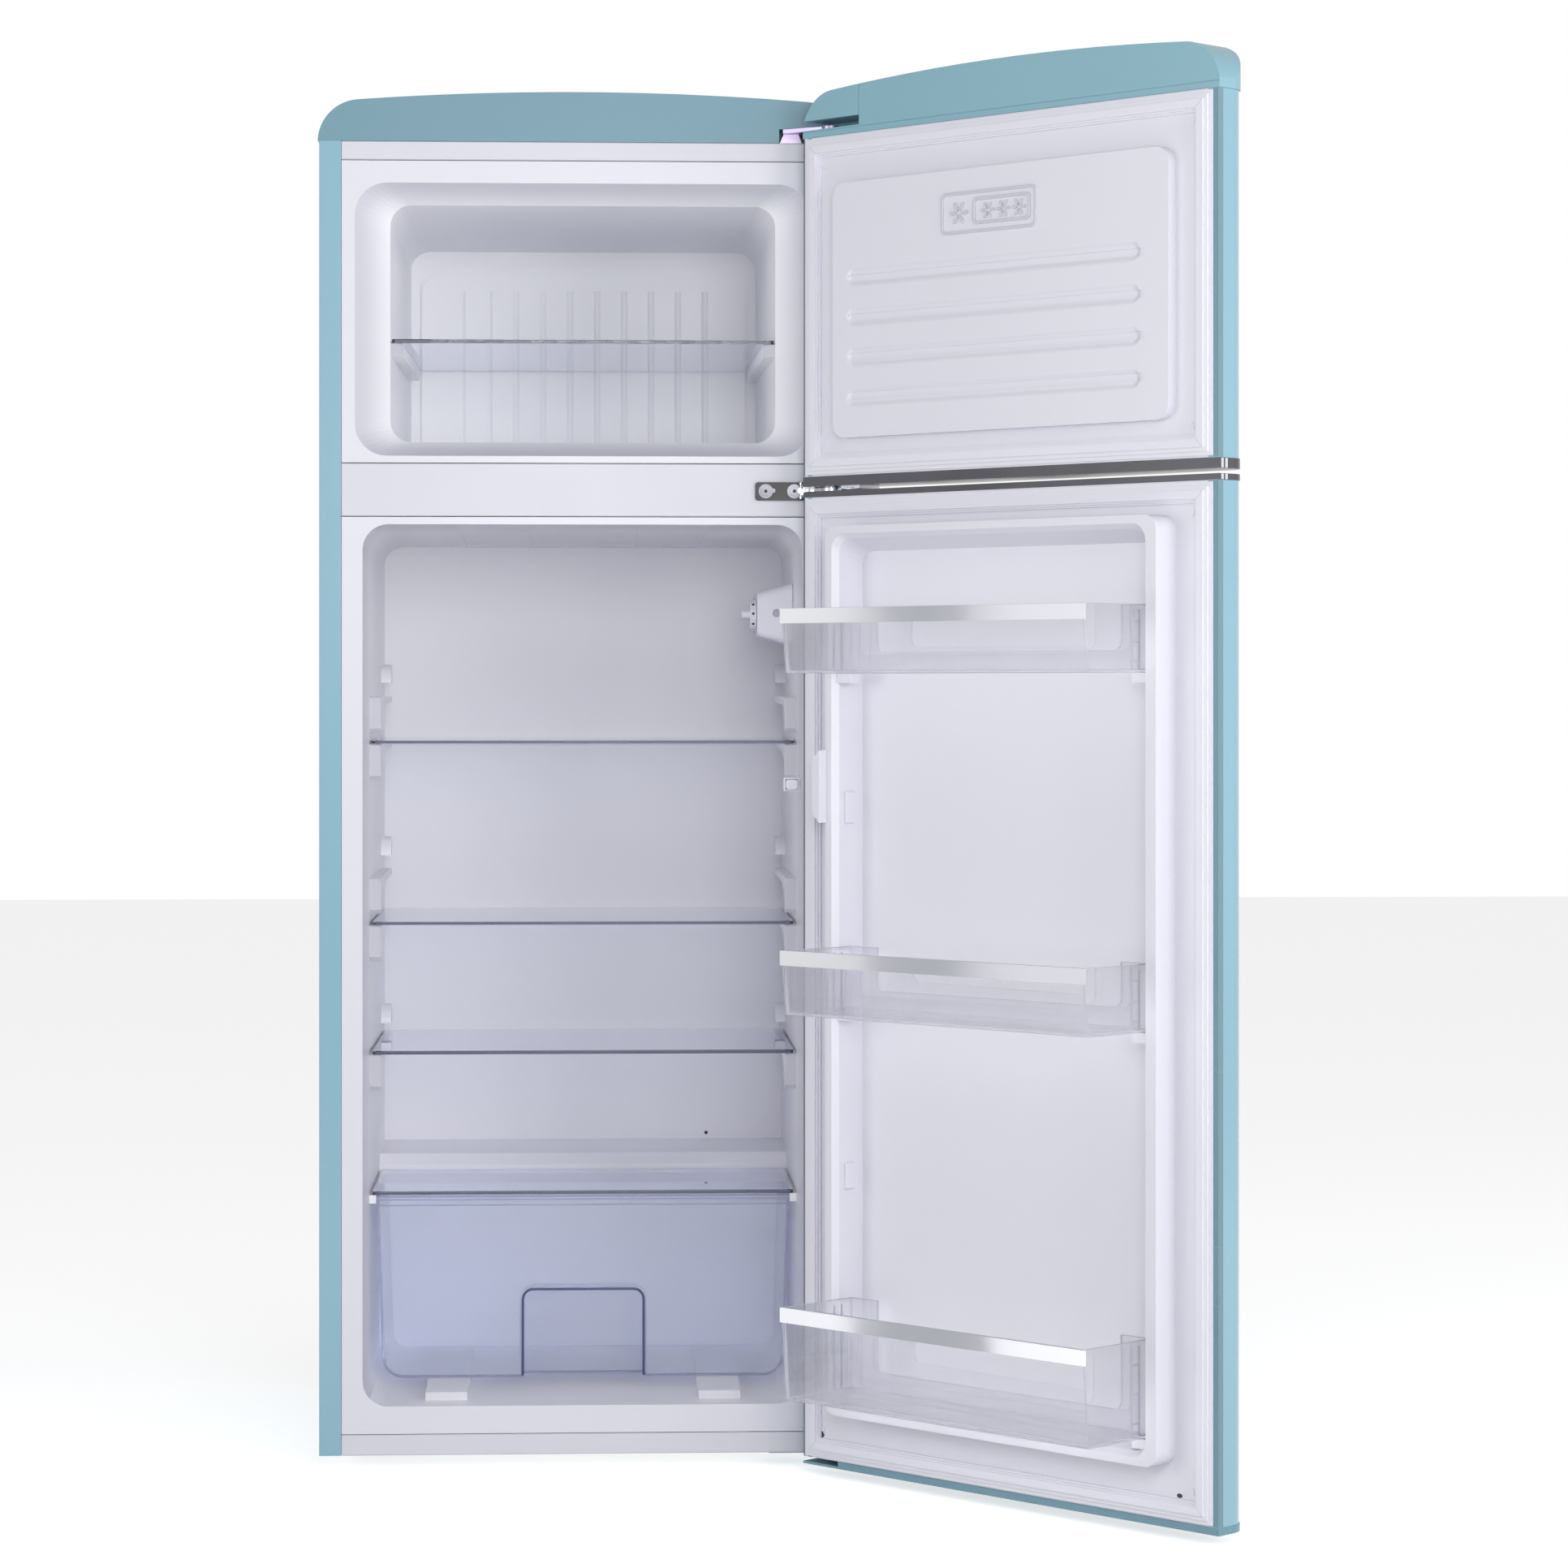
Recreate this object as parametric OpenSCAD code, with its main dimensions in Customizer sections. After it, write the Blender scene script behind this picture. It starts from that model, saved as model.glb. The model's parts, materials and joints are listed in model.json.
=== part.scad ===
// Retro top-freezer refrigerator with both doors standing open.
// Millimetres, +Z up, floor at z = 0, X to the right, the doors face -Y.
// Inside the modules y is measured from the cabinet's front plane into the cabinet.

/* [Cabinet] */
// Width of the cabinet and of both doors
cabinet_w = 550; // [540:1:580]
// Depth of the steel cabinet, without doors and condenser
cabinet_d = 515; // [505:1:560]
// Thickness of the steel sheets
sheet_t = 1.2; // [0.8:0.1:2]
// Clear height under the cabinet
foot_h = 16; // [16:1:26]
// Height of the bottom rail
bottom_rail_h = 22; // [20:1:26]
// Height of the refrigerator section between its seams
fridge_h = 958; // [950:1:1000]
// Height of the rail between the two sections
middle_rail_h = 56; // [56:1:62]
// Height of the freezer section between its seams
freezer_h = 316; // [310:1:350]
// Height of the top rail
top_rail_h = 20; // [20:1:26]
// Height of the arched top cover
cover_h = 52; // [50:1:60]
// Radius of the arch of the cover and of the freezer door's cap
arch_r = 3100; // [2800:50:3600]
// Radius of the rounded upper corners
corner_r = 45; // [38:1:46]
// Width of the folded steel front flange
flange_w = 23; // [20:1:26]

/* [Liners] */
// Wall thickness of the moulded liners
liner_t = 3; // [2.5:0.1:4]
// Depth of both compartments
liner_d = 455; // [450:1:458]
// Side wall between the cabinet's side and the freezer opening
freezer_side = 37; // [35:1:40]
// Depth of the freezer's sloping entry lip
lip_d = 45; // [40:1:50]
// Narrowing of the freezer at each side of that lip
lip_in = 35; // [30:1:36]
// Side wall between the cabinet's side and the refrigerator opening
fridge_side = 45; // [43:1:48]
// Depth from the front plane to the step above the compressor
step_y = 342; // [340:1:346]
// Height of that step above the floor
step_z = 293; // [288:1:296]

/* [Doors] */
// Angle at which both doors stand open
door_open = 132.8; // [100:0.1:135]
// Gap between the cabinet's front plane and the door rims
rim_gap = 7; // [6.5:0.1:8]
// Thickness of the doors at the crown of their bulged faces
door_t = 55; // [52:1:60]
// Radius of the bulged door faces, seen from above
door_face_r = 3560; // [3200:20:4200]
// Radius of the doors' vertical front edges
door_edge_r = 22; // [18:1:24]
// Distance of the hinge axis from the cabinet's side
hinge_in = 16.7; // [16:0.1:18]
// Distance of the hinge axis in front of the cabinet
hinge_out = 31; // [30.5:0.1:33]
// Radius of the hinge pins
pin_r = 4; // [3.5:0.1:4.5]
// Radial clearance of the hinge pins in their bushes
pin_fit = 0.06; // [0.03:0.01:0.09]
// Distance of the handles from the doors' free edge
handle_in = 72; // [68:1:90]
// Radius of the chrome handle bars
handle_r = 8; // [6:0.5:9]
// Length of the freezer door's handle between its posts
freezer_handle_l = 170; // [140:5:200]
// Length of the refrigerator door's handle between its posts
fridge_handle_l = 240; // [180:5:320]

/* [Interior] */
// Thickness of the glass shelves
glass_t = 4; // [4:0.5:5]
// Height of the freezer shelf above the floor
freezer_shelf_z = 1185; // [1175:1:1195]
// Heights of the three refrigerator shelves above the floor
shelf_zs = [761, 566, 427];
// Height of the glass cover above the drawer
cover_glass_z = 276; // [274:1:280]
// Depth at which the refrigerator shelves start
shelf_y = 135; // [133:1:138]
// Length of the door bins
bin_len = 404; // [396:1:404]
// Distance of the bins' front from the door rim
bin_out = 110; // [100:1:112]
// Wall thickness of the clear bins and of the drawer
clear_t = 2.5; // [2:0.1:3]

/* [Hidden] */

$fn = 64;

turquoise = [0.50, 0.72, 0.78];
white = [0.89, 0.89, 0.92];
clear = [0.75, 0.79, 0.88, 0.45];
glass = [0.72, 0.80, 0.90, 0.45];
chrome = [0.78, 0.79, 0.82];
dark = [0.12, 0.12, 0.14];
foam = [0.93, 0.88, 0.66];
grey = [0.55, 0.56, 0.60];

// Heights of the seams, from the floor up
half_w = cabinet_w / 2;
fridge_z0 = foot_h + bottom_rail_h;
fridge_z1 = fridge_z0 + fridge_h;
freezer_z0 = fridge_z1 + middle_rail_h;
freezer_z1 = freezer_z0 + freezer_h;
cover_z = freezer_z1 + top_rail_h;
seam = 0.8;
frame_half = half_w - flange_w - 0.4;
rail_d = 20;

// Compartment openings
freezer_half = half_w - freezer_side;
freezer_open = [freezer_z0 + 7, freezer_z1 - 23];
freezer_open_r = 34;
fridge_half = half_w - fridge_side;
fridge_open = [fridge_z0 + 29, fridge_z1 - 8];
fridge_open_r = 27;
fridge_draft = 1.5;

// Doors: z ranges of the steel part, without caps and trims
freezer_door = [freezer_z0 - 16, cover_z];
fridge_door = [foot_h + 2.5, fridge_z1 + 19];
freezer_trim_h = 10;
fridge_trim_h = 6;
base_h = 7.5;
hinge_x = half_w - hinge_in;
hinge_y = -hinge_out;
overhang = 1.5;
rim_w = 12;
hinge_cut_x = half_w - 79;
slot_back_y = hinge_y - 16;

// Gasket steps: inset of the outer edge, inset of the inner edge, height above the rim
gasket_steps = [[6, 26, 2.5], [10, 24, 4.5], [14, 22, rim_gap - 0.5]];

// Raised frame on the refrigerator door, and the recess it surrounds
dyke_x = [-half_w + 52, half_w - 60];
dyke_z = [fridge_open[0] + 5.5, fridge_open[1] - 5.5];
dyke_w = 13;
dyke_free_w = 17;
dyke_h = 30;
recess_x = [dyke_x[0] + dyke_free_w, dyke_x[1] - dyke_w];
recess_z = [dyke_z[0] + dyke_w, dyke_z[1] - dyke_w];
recess_d = 11;
bin_x0 = dyke_x[0] + 19;
bin_bottoms = [832, 487, 98];
bin_tops = [897, 552, 192];
bin_strip_h = 15;
bin_back = 9;

// Depth of the refrigerator shelves, which leaves room for cold air at the back
shelf_d = liner_d - shelf_y - 30;

// Machine bay behind the step
bay_y = step_y + 41;
bay_top = step_z - 43;

// ---------- shared shapes ----------

module place() {
    translate([0, -cabinet_d / 2, 0]) children();
}

module on_door() {
    place()
        translate([hinge_x, hinge_y, 0]) rotate(door_open) translate([-hinge_x, -hinge_y, 0]) children();
}

module block(x, y, z) {
    translate([x[0], y[0], z[0]]) cube([x[1] - x[0], y[1] - y[0], z[1] - z[0]]);
}

// Rectangle with round corners, from x[0] to x[1] and y[0] to y[1]
module round_rect(x, y, r) {
    translate([x[0] + r, y[0]]) square([x[1] - x[0] - 2 * r, y[1] - y[0]]);
    translate([x[0], y[0] + r]) square([x[1] - x[0], y[1] - y[0] - 2 * r]);
    for (cx = [x[0] + r, x[1] - r], cy = [y[0] + r, y[1] - r]) translate([cx, cy]) circle(r);
}

// Extrudes a front view, drawn with x and z, from depth y[0] to y[1]
module front_extrude(y) {
    translate([0, y[1], 0]) rotate([90, 0, 0]) linear_extrude(y[1] - y[0]) children();
}

// Extrudes a side view, drawn with y and z, from x[0] to x[1]
module side_extrude(x) {
    translate([x[0], 0, 0]) rotate([90, 0, 90]) linear_extrude(x[1] - x[0]) children();
}

// One section of a loft: [half width, [bottom z, top z], corner radius, depth y]
function section_points(s, n) = [
    for (c = [0 : 3], i = [0 : n])
        let (a = 90 * c + 90 * i / n, sx = c == 0 || c == 3 ? 1 : -1,
            cz = c < 2 ? s[1][1] - s[2] : s[1][0] + s[2])
            [sx * (s[0] - s[2]) + s[2] * cos(a), s[3], cz + s[2] * sin(a)]
];

// Solid through a row of rounded rectangles, from the front backwards
module loft(sections, n = 8) {
    m = 4 * (n + 1);
    last = len(sections) - 1;
    polyhedron(
        points = [for (s = sections) each section_points(s, n)],
        faces = concat(
            [[for (i = [m - 1 : -1 : 0]) i]],
            [[for (i = [0 : m - 1]) last * m + i]],
            [for (k = [0 : last - 1], i = [0 : m - 1])
                [k * m + i, k * m + (i + 1) % m, (k + 1) * m + (i + 1) % m, (k + 1) * m + i]]
        )
    );
}

// Outline with a slightly arched top and tangent round corners
module arched(w, base, crown, r, big_r) {
    centre = crown - big_r;
    corner_x = w / 2 - r;
    corner_c = centre + sqrt(pow(big_r - r, 2) - pow(corner_x, 2));
    tangent_x = corner_x * big_r / (big_r - r);
    intersection() {
        translate([0, centre]) circle(big_r, $fn = 1440);
        translate([-tangent_x, base]) square([2 * tangent_x, crown - base + 1]);
    }
    intersection() {
        for (s = [-1, 1]) translate([s * corner_x, corner_c]) circle(r, $fn = 96);
        translate([-w / 2, base]) square([w, crown - base]);
    }
    if (corner_c > base) translate([-w / 2, base]) square([w, corner_c - base]);
}

// ---------- cabinet ----------

module cabinet_shell() {
    color(turquoise) place() {
        for (s = [0, 1]) mirror([s, 0, 0]) {
            block([half_w - sheet_t, half_w], [0, cabinet_d], [foot_h, cover_z]);
            block([half_w - flange_w, half_w], [0, sheet_t], [foot_h, cover_z]);
            block([half_w - flange_w, half_w - flange_w + sheet_t], [0, 14], [foot_h, cover_z]);
            block([half_w - 18, half_w], [cabinet_d - sheet_t, cabinet_d], [foot_h, cover_z]);
        }
        block([-half_w, half_w], [rail_d + 1, cabinet_d], [cover_z - sheet_t, cover_z]);
    }
}

module back_panel() {
    color(grey) place()
        block([-half_w + sheet_t, half_w - sheet_t], [cabinet_d - 2 * sheet_t, cabinet_d - sheet_t],
            [bay_top, cover_z - sheet_t]);
}

module bay_profile(grow) {
    polygon([[bay_y - grow, foot_h - 1], [bay_y - grow, bay_top - 30], [bay_y + 30, bay_top + grow],
        [cabinet_d + 1, bay_top + grow], [cabinet_d + 1, foot_h - 1]]);
}

module cabinet_foam() {
    color(foam) place() difference() {
        block([-half_w + sheet_t, half_w - sheet_t], [14, cabinet_d - 2 * sheet_t],
            [foot_h + 2, cover_z - sheet_t]);
        freezer_tub(liner_t);
        difference() {
            fridge_tub(liner_t);
            step_block(liner_t);
        }
        for (s = [-1, 1]) translate([s * foot_x, foot_y, 0]) cylinder(r = 8, h = stem_top + 4);
        for (z = [[foot_h, fridge_z0], [fridge_z1, freezer_z0], [freezer_z1, cover_z]])
            block([-half_w, half_w], [0, rail_d], z);
        side_extrude([-half_w, half_w]) bay_profile(0);
    }
}

module cover_form(inset) {
    w = cabinet_w + 2 * overhang - 2 * inset;
    arched(w, cover_z, crown_z() - inset, corner_r - inset, arch_r - inset);
}

function crown_z() = cover_z + cover_h;

// Pocket in the top cover that the upper hinge comes out of
hinge_pocket_x = [half_w - 69.8, half_w - 12];
hinge_pocket_z = cover_z + 14.4;

module top_cover() {
    wall = 3;
    color(turquoise) place() difference() {
        front_extrude([-overhang, cabinet_d]) cover_form(0);
        difference() {
            front_extrude([wall, cabinet_d - wall]) cover_form(wall);
            block([hinge_pocket_x[0] - wall, half_w - 2], [0, 32 + wall], [cover_z - 1, hinge_pocket_z + wall]);
        }
        block(hinge_pocket_x, [-5, 32], [cover_z - 1, hinge_pocket_z]);
    }
}

// Front rail with rounded long edges; holes and notches are cut by its children
module rail(z) {
    color(white) place() difference() {
        side_extrude([-frame_half, frame_half])
            polygon([[0, z[0] + 1], [1, z[0]], [rail_d, z[0]], [rail_d, z[1]], [1, z[1]], [0, z[1] - 1]]);
        children();
    }
}

module top_rail() {
    rail([freezer_z1 + seam / 2, cover_z]);
}

module middle_rail() {
    rail([fridge_z1 + seam / 2, freezer_z0 - seam / 2])
        for (x = hinge_screw_x)
            translate([x, 14, fridge_z1 + 27]) rotate([90, 0, 0]) cylinder(r = 3.05, h = 20);
}

module bottom_rail() {
    rail([foot_h, fridge_z0 - seam / 2])
        block([arm_x[0] - 1, arm_x[1] + 1], [-1, rail_d + 1], [foot_h - 1, arm_z[1] + 0.4]);
}

// ---------- liners ----------

// Half width of the freezer between its lip and its back wall
function freezer_wall_x(y) = freezer_half - lip_in - 5 * (y - lip_d) / (liner_d - lip_d);

// Half width of the freezer at its front, carried on to a little in front of the cabinet
function freezer_lip_x(y) = freezer_half - lip_in * y / lip_d;

module freezer_tub(grow) {
    z0 = freezer_open[0] - grow;
    z1 = freezer_open[1] + grow;
    loft([
        [freezer_lip_x(-1) + grow, [z0, z1], freezer_open_r + grow, -1],
        [freezer_wall_x(lip_d) + grow, [z0 + 17, z1 - 19], 22 + grow, lip_d],
        [freezer_wall_x(liner_d) + grow, [z0 + 17, z1 - 26], 22 + grow, liner_d + grow]
    ]);
}

// Height of the refrigerator's ceiling at depth y
function ceiling_z(y) = fridge_open[1] - 9 * y / liner_d;

module fridge_tub(grow) {
    loft([
        [fridge_half + grow, [fridge_open[0] - grow, fridge_open[1] + grow], fridge_open_r + grow, -1],
        [fridge_half - fridge_draft + grow, [fridge_open[0] - 3 - grow, ceiling_z(liner_d) + grow], 20 + grow,
            liner_d + grow]
    ]);
}

// The step above the compressor, as it stands in the refrigerator compartment
module step_block(grow) {
    side_extrude([-half_w, half_w])
        polygon([[step_y + grow, 0], [step_y + grow, step_z - 12 - grow], [step_y + 12 + grow, step_z - grow],
            [liner_d + 60, step_z + 8 - grow], [liner_d + 60, 0]]);
}

module seam_flange(half, z) {
    block([-half, half], [0, liner_t], z);
}

// Ten shallow vertical flutes on the raised panel of the freezer's back wall
flute_n = 10;
flute_pitch = 31;
flute_r = 9;
flute_depth = 0.8;
panel_y = liner_d - 4;

module freezer_back_panel() {
    z0 = freezer_open[0] + 16;
    z1 = freezer_open[1] - 43;
    difference() {
        front_extrude([panel_y, liner_d + 1])
            polygon([[-186, z0], [-186, z1 - 24], [-162, z1], [162, z1], [186, z1 - 24], [186, z0]]);
        for (i = [0 : flute_n - 1])
            translate([(i - (flute_n - 1) / 2) * flute_pitch, panel_y + flute_depth - flute_r, z0 - 1])
                cylinder(r = flute_r, h = z1 - z0 - 27);
    }
}

// Side ledge under the freezer shelf, from just behind the lip to near the back wall
module freezer_ledge() {
    top = freezer_shelf_z - glass_t - shelf_gap;
    ledge_w = 12;
    end_y = liner_d - 50;
    translate([0, 0, top - 13]) linear_extrude(13) {
        polygon([[freezer_wall_x(lip_d) + 1, lip_d + 2], [freezer_wall_x(liner_d) + 1, end_y],
            [freezer_wall_x(end_y) - ledge_w, end_y], [freezer_wall_x(lip_d) - ledge_w, lip_d + 12]]);
        translate([freezer_wall_x(end_y) - ledge_w / 2, end_y]) circle(ledge_w / 2);
    }
}

module freezer_liner() {
    color(white) place() {
        difference() {
            union() {
                seam_flange(frame_half, [freezer_z0 + seam / 2, freezer_z1 - seam / 2]);
                freezer_tub(liner_t);
            }
            freezer_tub(0);
            block([-half_w, half_w], [-2, 0], [0, crown_z()]);
        }
        freezer_back_panel();
        for (s = [0, 1]) mirror([s, 0, 0]) freezer_ledge();
    }
}

support_in = 11;
support_h = 38;
support_y = [shelf_y + 1, shelf_y + shelf_d - 26];

// Moulded support for a shelf whose underside lies on z: upright nose, ledge and a soft underside
module shelf_support(z) {
    side_extrude([fridge_half - fridge_draft - support_in, fridge_half])
        polygon([
            [support_y[0], z - 1.5], [support_y[0] + 1.5, z], [support_y[1], z], [support_y[1], z - 6],
            [support_y[0] + 60, z - 9], [support_y[0] + 24, z - 16], [support_y[0] + 17, z - support_h],
            [support_y[0] + 3, z - support_h], [support_y[0], z - support_h + 4]
        ]);
}

// Button above the back of a support that keeps the shelf from tipping
module tip_button(z) {
    button_h = 21;
    side_extrude([fridge_half - fridge_draft - support_in, fridge_half])
        intersection() {
            translate([support_y[1] - 4, z]) circle(button_h);
            translate([support_y[1] - 4 - button_h, z]) square([button_h + 8, button_h]);
        }
}

// Clearance between a shelf or the drawer and what it rests on
shelf_gap = 0.4;
// Heights of the two spare shelf levels, and of the levels that have tip buttons
spare_zs = [812, 617];
button_zs = [812, 617, shelf_zs[2]];

module fridge_liner() {
    pad_w = 43;
    pad_front = 90;
    pad_back = liner_d - 35;
    pad_depth = 1.3;
    color(white) place() {
        difference() {
            union() {
                seam_flange(frame_half, [fridge_z0 + seam / 2, fridge_z1 - seam / 2]);
                difference() {
                    fridge_tub(liner_t);
                    step_block(liner_t);
                }
            }
            difference() {
                fridge_tub(0);
                step_block(0);
            }
            block([-half_w, half_w], [-2, 0], [0, crown_z()]);
            // shallow pads in the ceiling
            for (x = [-112, -37.5, 37.5, 112])
                side_extrude([x - pad_w / 2, x + pad_w / 2])
                    polygon([[pad_front, ceiling_z(pad_front) - 5], [pad_back, ceiling_z(pad_back) - 5],
                        [pad_back, ceiling_z(pad_back) + pad_depth],
                        [pad_front, ceiling_z(pad_front) + pad_depth]]);
            // drain at the back of the step
            translate([140, liner_d - 16, step_z - 20]) cylinder(r = 7, h = 60);
        }
        for (s = [0, 1]) mirror([s, 0, 0]) {
            for (z = concat(shelf_zs, spare_zs)) shelf_support(z - glass_t - shelf_gap);
            for (z = button_zs) tip_button(z + 11);
            // supports of the drawer's glass cover
            block([drawer_half + 0.6, fridge_half], [shelf_y + 1, step_y + 2],
                [cover_glass_z - glass_t - shelf_gap - 9, cover_glass_z - glass_t - shelf_gap]);
        }
        // two runners that carry the drawer
        for (x = [-144, 144])
            block([x - 22, x + 22], [40, step_y + 1],
                [fridge_open[0] - liner_t + 0.2, drawer_z[0] - shelf_gap]);
    }
}

// ---------- machine bay ----------

roller_r = 15;
roller_y = cabinet_d - 40;
foot_y = 112;
foot_x = half_w - 50;
stem_top = foot_h + 34;

module base_pan() {
    color(grey) place() difference() {
        union() {
            block([-half_w + sheet_t, half_w - sheet_t], [rail_d, cabinet_d - 2], [foot_h, foot_h + 2]);
            // bent sheet that closes the machine bay towards the insulation
            side_extrude([-half_w + sheet_t, half_w - sheet_t]) intersection() {
                difference() {
                    bay_profile(0);
                    bay_profile(-sheet_t);
                }
                translate([0, foot_h]) square([cabinet_d - 2 * sheet_t, bay_top]);
            }
            // turned-up rims of the bay and the brackets of the rear rollers
            for (s = [0, 1]) mirror([s, 0, 0]) {
                block([half_w - sheet_t - 2, half_w - sheet_t], [bay_y + 2, cabinet_d - 2],
                    [foot_h, foot_h + 40]);
                for (x = [half_w - 48, half_w - 26])
                    block([x - 1, x + 1], [roller_y - 14, roller_y + 14], [8, foot_h + 20]);
            }
        }
        for (s = [0, 1]) mirror([s, 0, 0]) {
            block([half_w - 47, half_w - 27], [roller_y - 18, roller_y + 18], [0, foot_h + 10]);
            translate([foot_x, foot_y, foot_h - 1]) cylinder(r = 4.1, h = 10);
        }
    }
    color(chrome) place() for (s = [0, 1]) mirror([s, 0, 0])
        translate([half_w - 49, roller_y, roller_r]) rotate([0, 90, 0]) cylinder(r = 3, h = 24);
}

module roller(x) {
    color(dark) place() translate([x - 9, roller_y, roller_r]) rotate([0, 90, 0])
        rotate_extrude() difference() {
            round_rect([3.06, roller_r], [0, 18], 1.4);
            translate([roller_r + 1.5, 9]) circle(r = 2.5);
        }
}

module roller_left() {
    roller(-(half_w - 37));
}

module roller_right() {
    roller(half_w - 37);
}

// Levelling foot: round pad, neck and threaded stem
module foot(x) {
    color(dark) place() translate([x, foot_y, 0]) rotate_extrude() union() {
        square([18, 6]);
        translate([0, 6]) square([12, foot_h - 7]);
        square([4, stem_top]);
    }
}

module foot_left() {
    foot(-foot_x);
}

module foot_right() {
    foot(foot_x);
}

pot_r = 60;
pot_y = bay_y + pot_r + 5;
pot_z = foot_h + 12;
pot_h = 146;

module compressor() {
    color(dark) place() translate([30, pot_y, 0]) {
        // hermetic pot: two deep-drawn halves with a welded belt
        rotate_extrude() intersection() {
            union() {
                round_rect([-pot_r + 2, pot_r - 2], [pot_z, pot_z + pot_h], 38);
                translate([0, pot_z + 72]) square([pot_r, 5]);
            }
            square([pot_r, pot_z + pot_h + 10]);
        }
        // mounting feet on four rubber buffers
        difference() {
            block([-88, 88], [-36, 36], [pot_z + 4, pot_z + 8]);
            for (x = [-76, 76], y = [-24, 24]) translate([x, y, 0]) cylinder(r = 4, h = 60);
        }
        for (x = [-76, 76], y = [-24, 24]) translate([x, y, foot_h + 2]) difference() {
            cylinder(r = 9, h = 14);
            translate([0, 0, -1]) cylinder(r = 3.4, h = 40);
        }
        // suction and discharge pipes
        for (x = [-34, 34]) translate([x, -30, pot_z + 96]) cylinder(r = 4, h = 110);
    }
}

module terminal_box() {
    x0 = 30 + pot_r;
    color(dark) place() {
        block([x0, x0 + 34], [pot_y - 32, pot_y + 32], [pot_z + 30, pot_z + 92]);
        translate([x0 + 34, pot_y + 8, pot_z + 44]) rotate([0, 90, 0]) difference() {
            cylinder(r = 9, h = 14);
            translate([0, 0, 2]) cylinder(r = 4, h = 20);
        }
    }
}

// Tray that catches the melt water above the warm compressor
module drip_tray() {
    z0 = pot_z + pot_h;
    color(dark) place() difference() {
        front_extrude([bay_y + 6, cabinet_d - 8]) round_rect([-84, 106], [z0, z0 + 26], 8);
        block([-81, 103], [bay_y + 9, cabinet_d - 11], [z0 + 3, z0 + 60]);
        for (x = [-4, 64]) translate([x, pot_y - 30, z0 - 1]) cylinder(r = 7, h = 8);
    }
}

// Condenser: one serpentine tube on flat vertical strips
tube_r = 2.5;
run_n = 14;
run_pitch = 76;
run_half = 180;
strip_xs = [-150, -50, 50, 150];
condenser_y = cabinet_d + 24;
condenser_z = bay_top + 30;

module condenser() {
    color(dark) place() translate([0, condenser_y, condenser_z]) {
        for (i = [0 : run_n - 1])
            translate([-run_half, 0, i * run_pitch]) rotate([0, 90, 0])
                cylinder(r = tube_r, h = 2 * run_half, $fn = 24);
        for (i = [0 : run_n - 2]) {
            s = i % 2 == 0 ? 1 : -1;
            translate([s * run_half, 0, (i + 0.5) * run_pitch]) rotate([90, 0, 0]) rotate(-s * 90)
                rotate_extrude(angle = 180) translate([run_pitch / 2, 0]) circle(tube_r, $fn = 24);
        }
        // flat strips the tube is welded to, and spacers that hold them off the back
        for (x = strip_xs)
            block([x - 5, x + 5], [-tube_r - 0.8, -tube_r + 0.4], [-14, (run_n - 1) * run_pitch + 14]);
        for (x = [strip_xs[0], strip_xs[len(strip_xs) - 1]], i = [0.5, run_n - 1.5])
            block([x - 5, x + 5], [cabinet_d - sheet_t - condenser_y, -tube_r],
                [i * run_pitch - 6, i * run_pitch + 6]);
    }
}

// ---------- lamp, thermostat and switch ----------

lamp_z = 898;
lamp_y = [200, 330];
lamp_tip_x = half_w - 84.5;
lamp_wall_x = fridge_half - 1.2;
knob_y = lamp_y[0] + 36;
knob_r = 16;
knob_h = 7;
knob_grip_h = 9;
spindle_r = 4;

module lamp_housing() {
    lens = [lamp_y[0] + 68, lamp_y[1] - 12];
    color(white) place() difference() {
        hull() {
            side_extrude([lamp_wall_x - 0.1, lamp_wall_x]) round_rect(lamp_y, [lamp_z - 34, lamp_z + 34], 8);
            side_extrude([lamp_tip_x, lamp_tip_x + 1])
                round_rect([lamp_y[0] + 8, lamp_y[1] - 8], [lamp_z - 24, lamp_z + 24], 8);
        }
        translate([lamp_tip_x - 1, knob_y, lamp_z]) rotate([0, 90, 0]) cylinder(r = spindle_r + 0.05, h = 24);
        // well of the screw that holds the housing
        translate([half_w - 63.5, lamp_y[0] + 12, lamp_z + 1]) rotate([90, 0, 0]) cylinder(r = 4.5, h = 30);
        block([lamp_tip_x - 1, lamp_tip_x + 30], lens, [lamp_z - 20, lamp_z + 20]);
    }
}

module lamp_lens() {
    color(clear) place() difference() {
        block([lamp_tip_x, lamp_tip_x + 30], [lamp_y[0] + 68, lamp_y[1] - 12], [lamp_z - 20, lamp_z + 20]);
        block([lamp_tip_x + 2, lamp_tip_x + 31], [lamp_y[0] + 70, lamp_y[1] - 14], [lamp_z - 18, lamp_z + 18]);
    }
}

// Thermostat dial with grip ridges round its edge
module thermostat_knob() {
    ridge_n = 20;
    color(white) place() translate([lamp_tip_x - knob_h - shelf_gap, knob_y, lamp_z]) rotate([0, 90, 0]) {
        difference() {
            cylinder(r = knob_r, h = knob_h);
            for (i = [0 : ridge_n - 1])
                rotate((i + 0.5) * 360 / ridge_n) translate([knob_r + 1.1, 0, -1])
                    cylinder(r = 1.6, h = knob_h + 2, $fn = 16);
        }
        translate([0, 0, -knob_grip_h]) linear_extrude(knob_grip_h)
            round_rect([-4.5, 4.5], [3 - knob_r, knob_r - 3], 4);
        cylinder(r = spindle_r, h = knob_h + 20);
    }
}

switch_z = 715;
switch_y = 43;
plunger_half = 6;
plunger_h = 5;
switch_x = fridge_half - 10;

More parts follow.
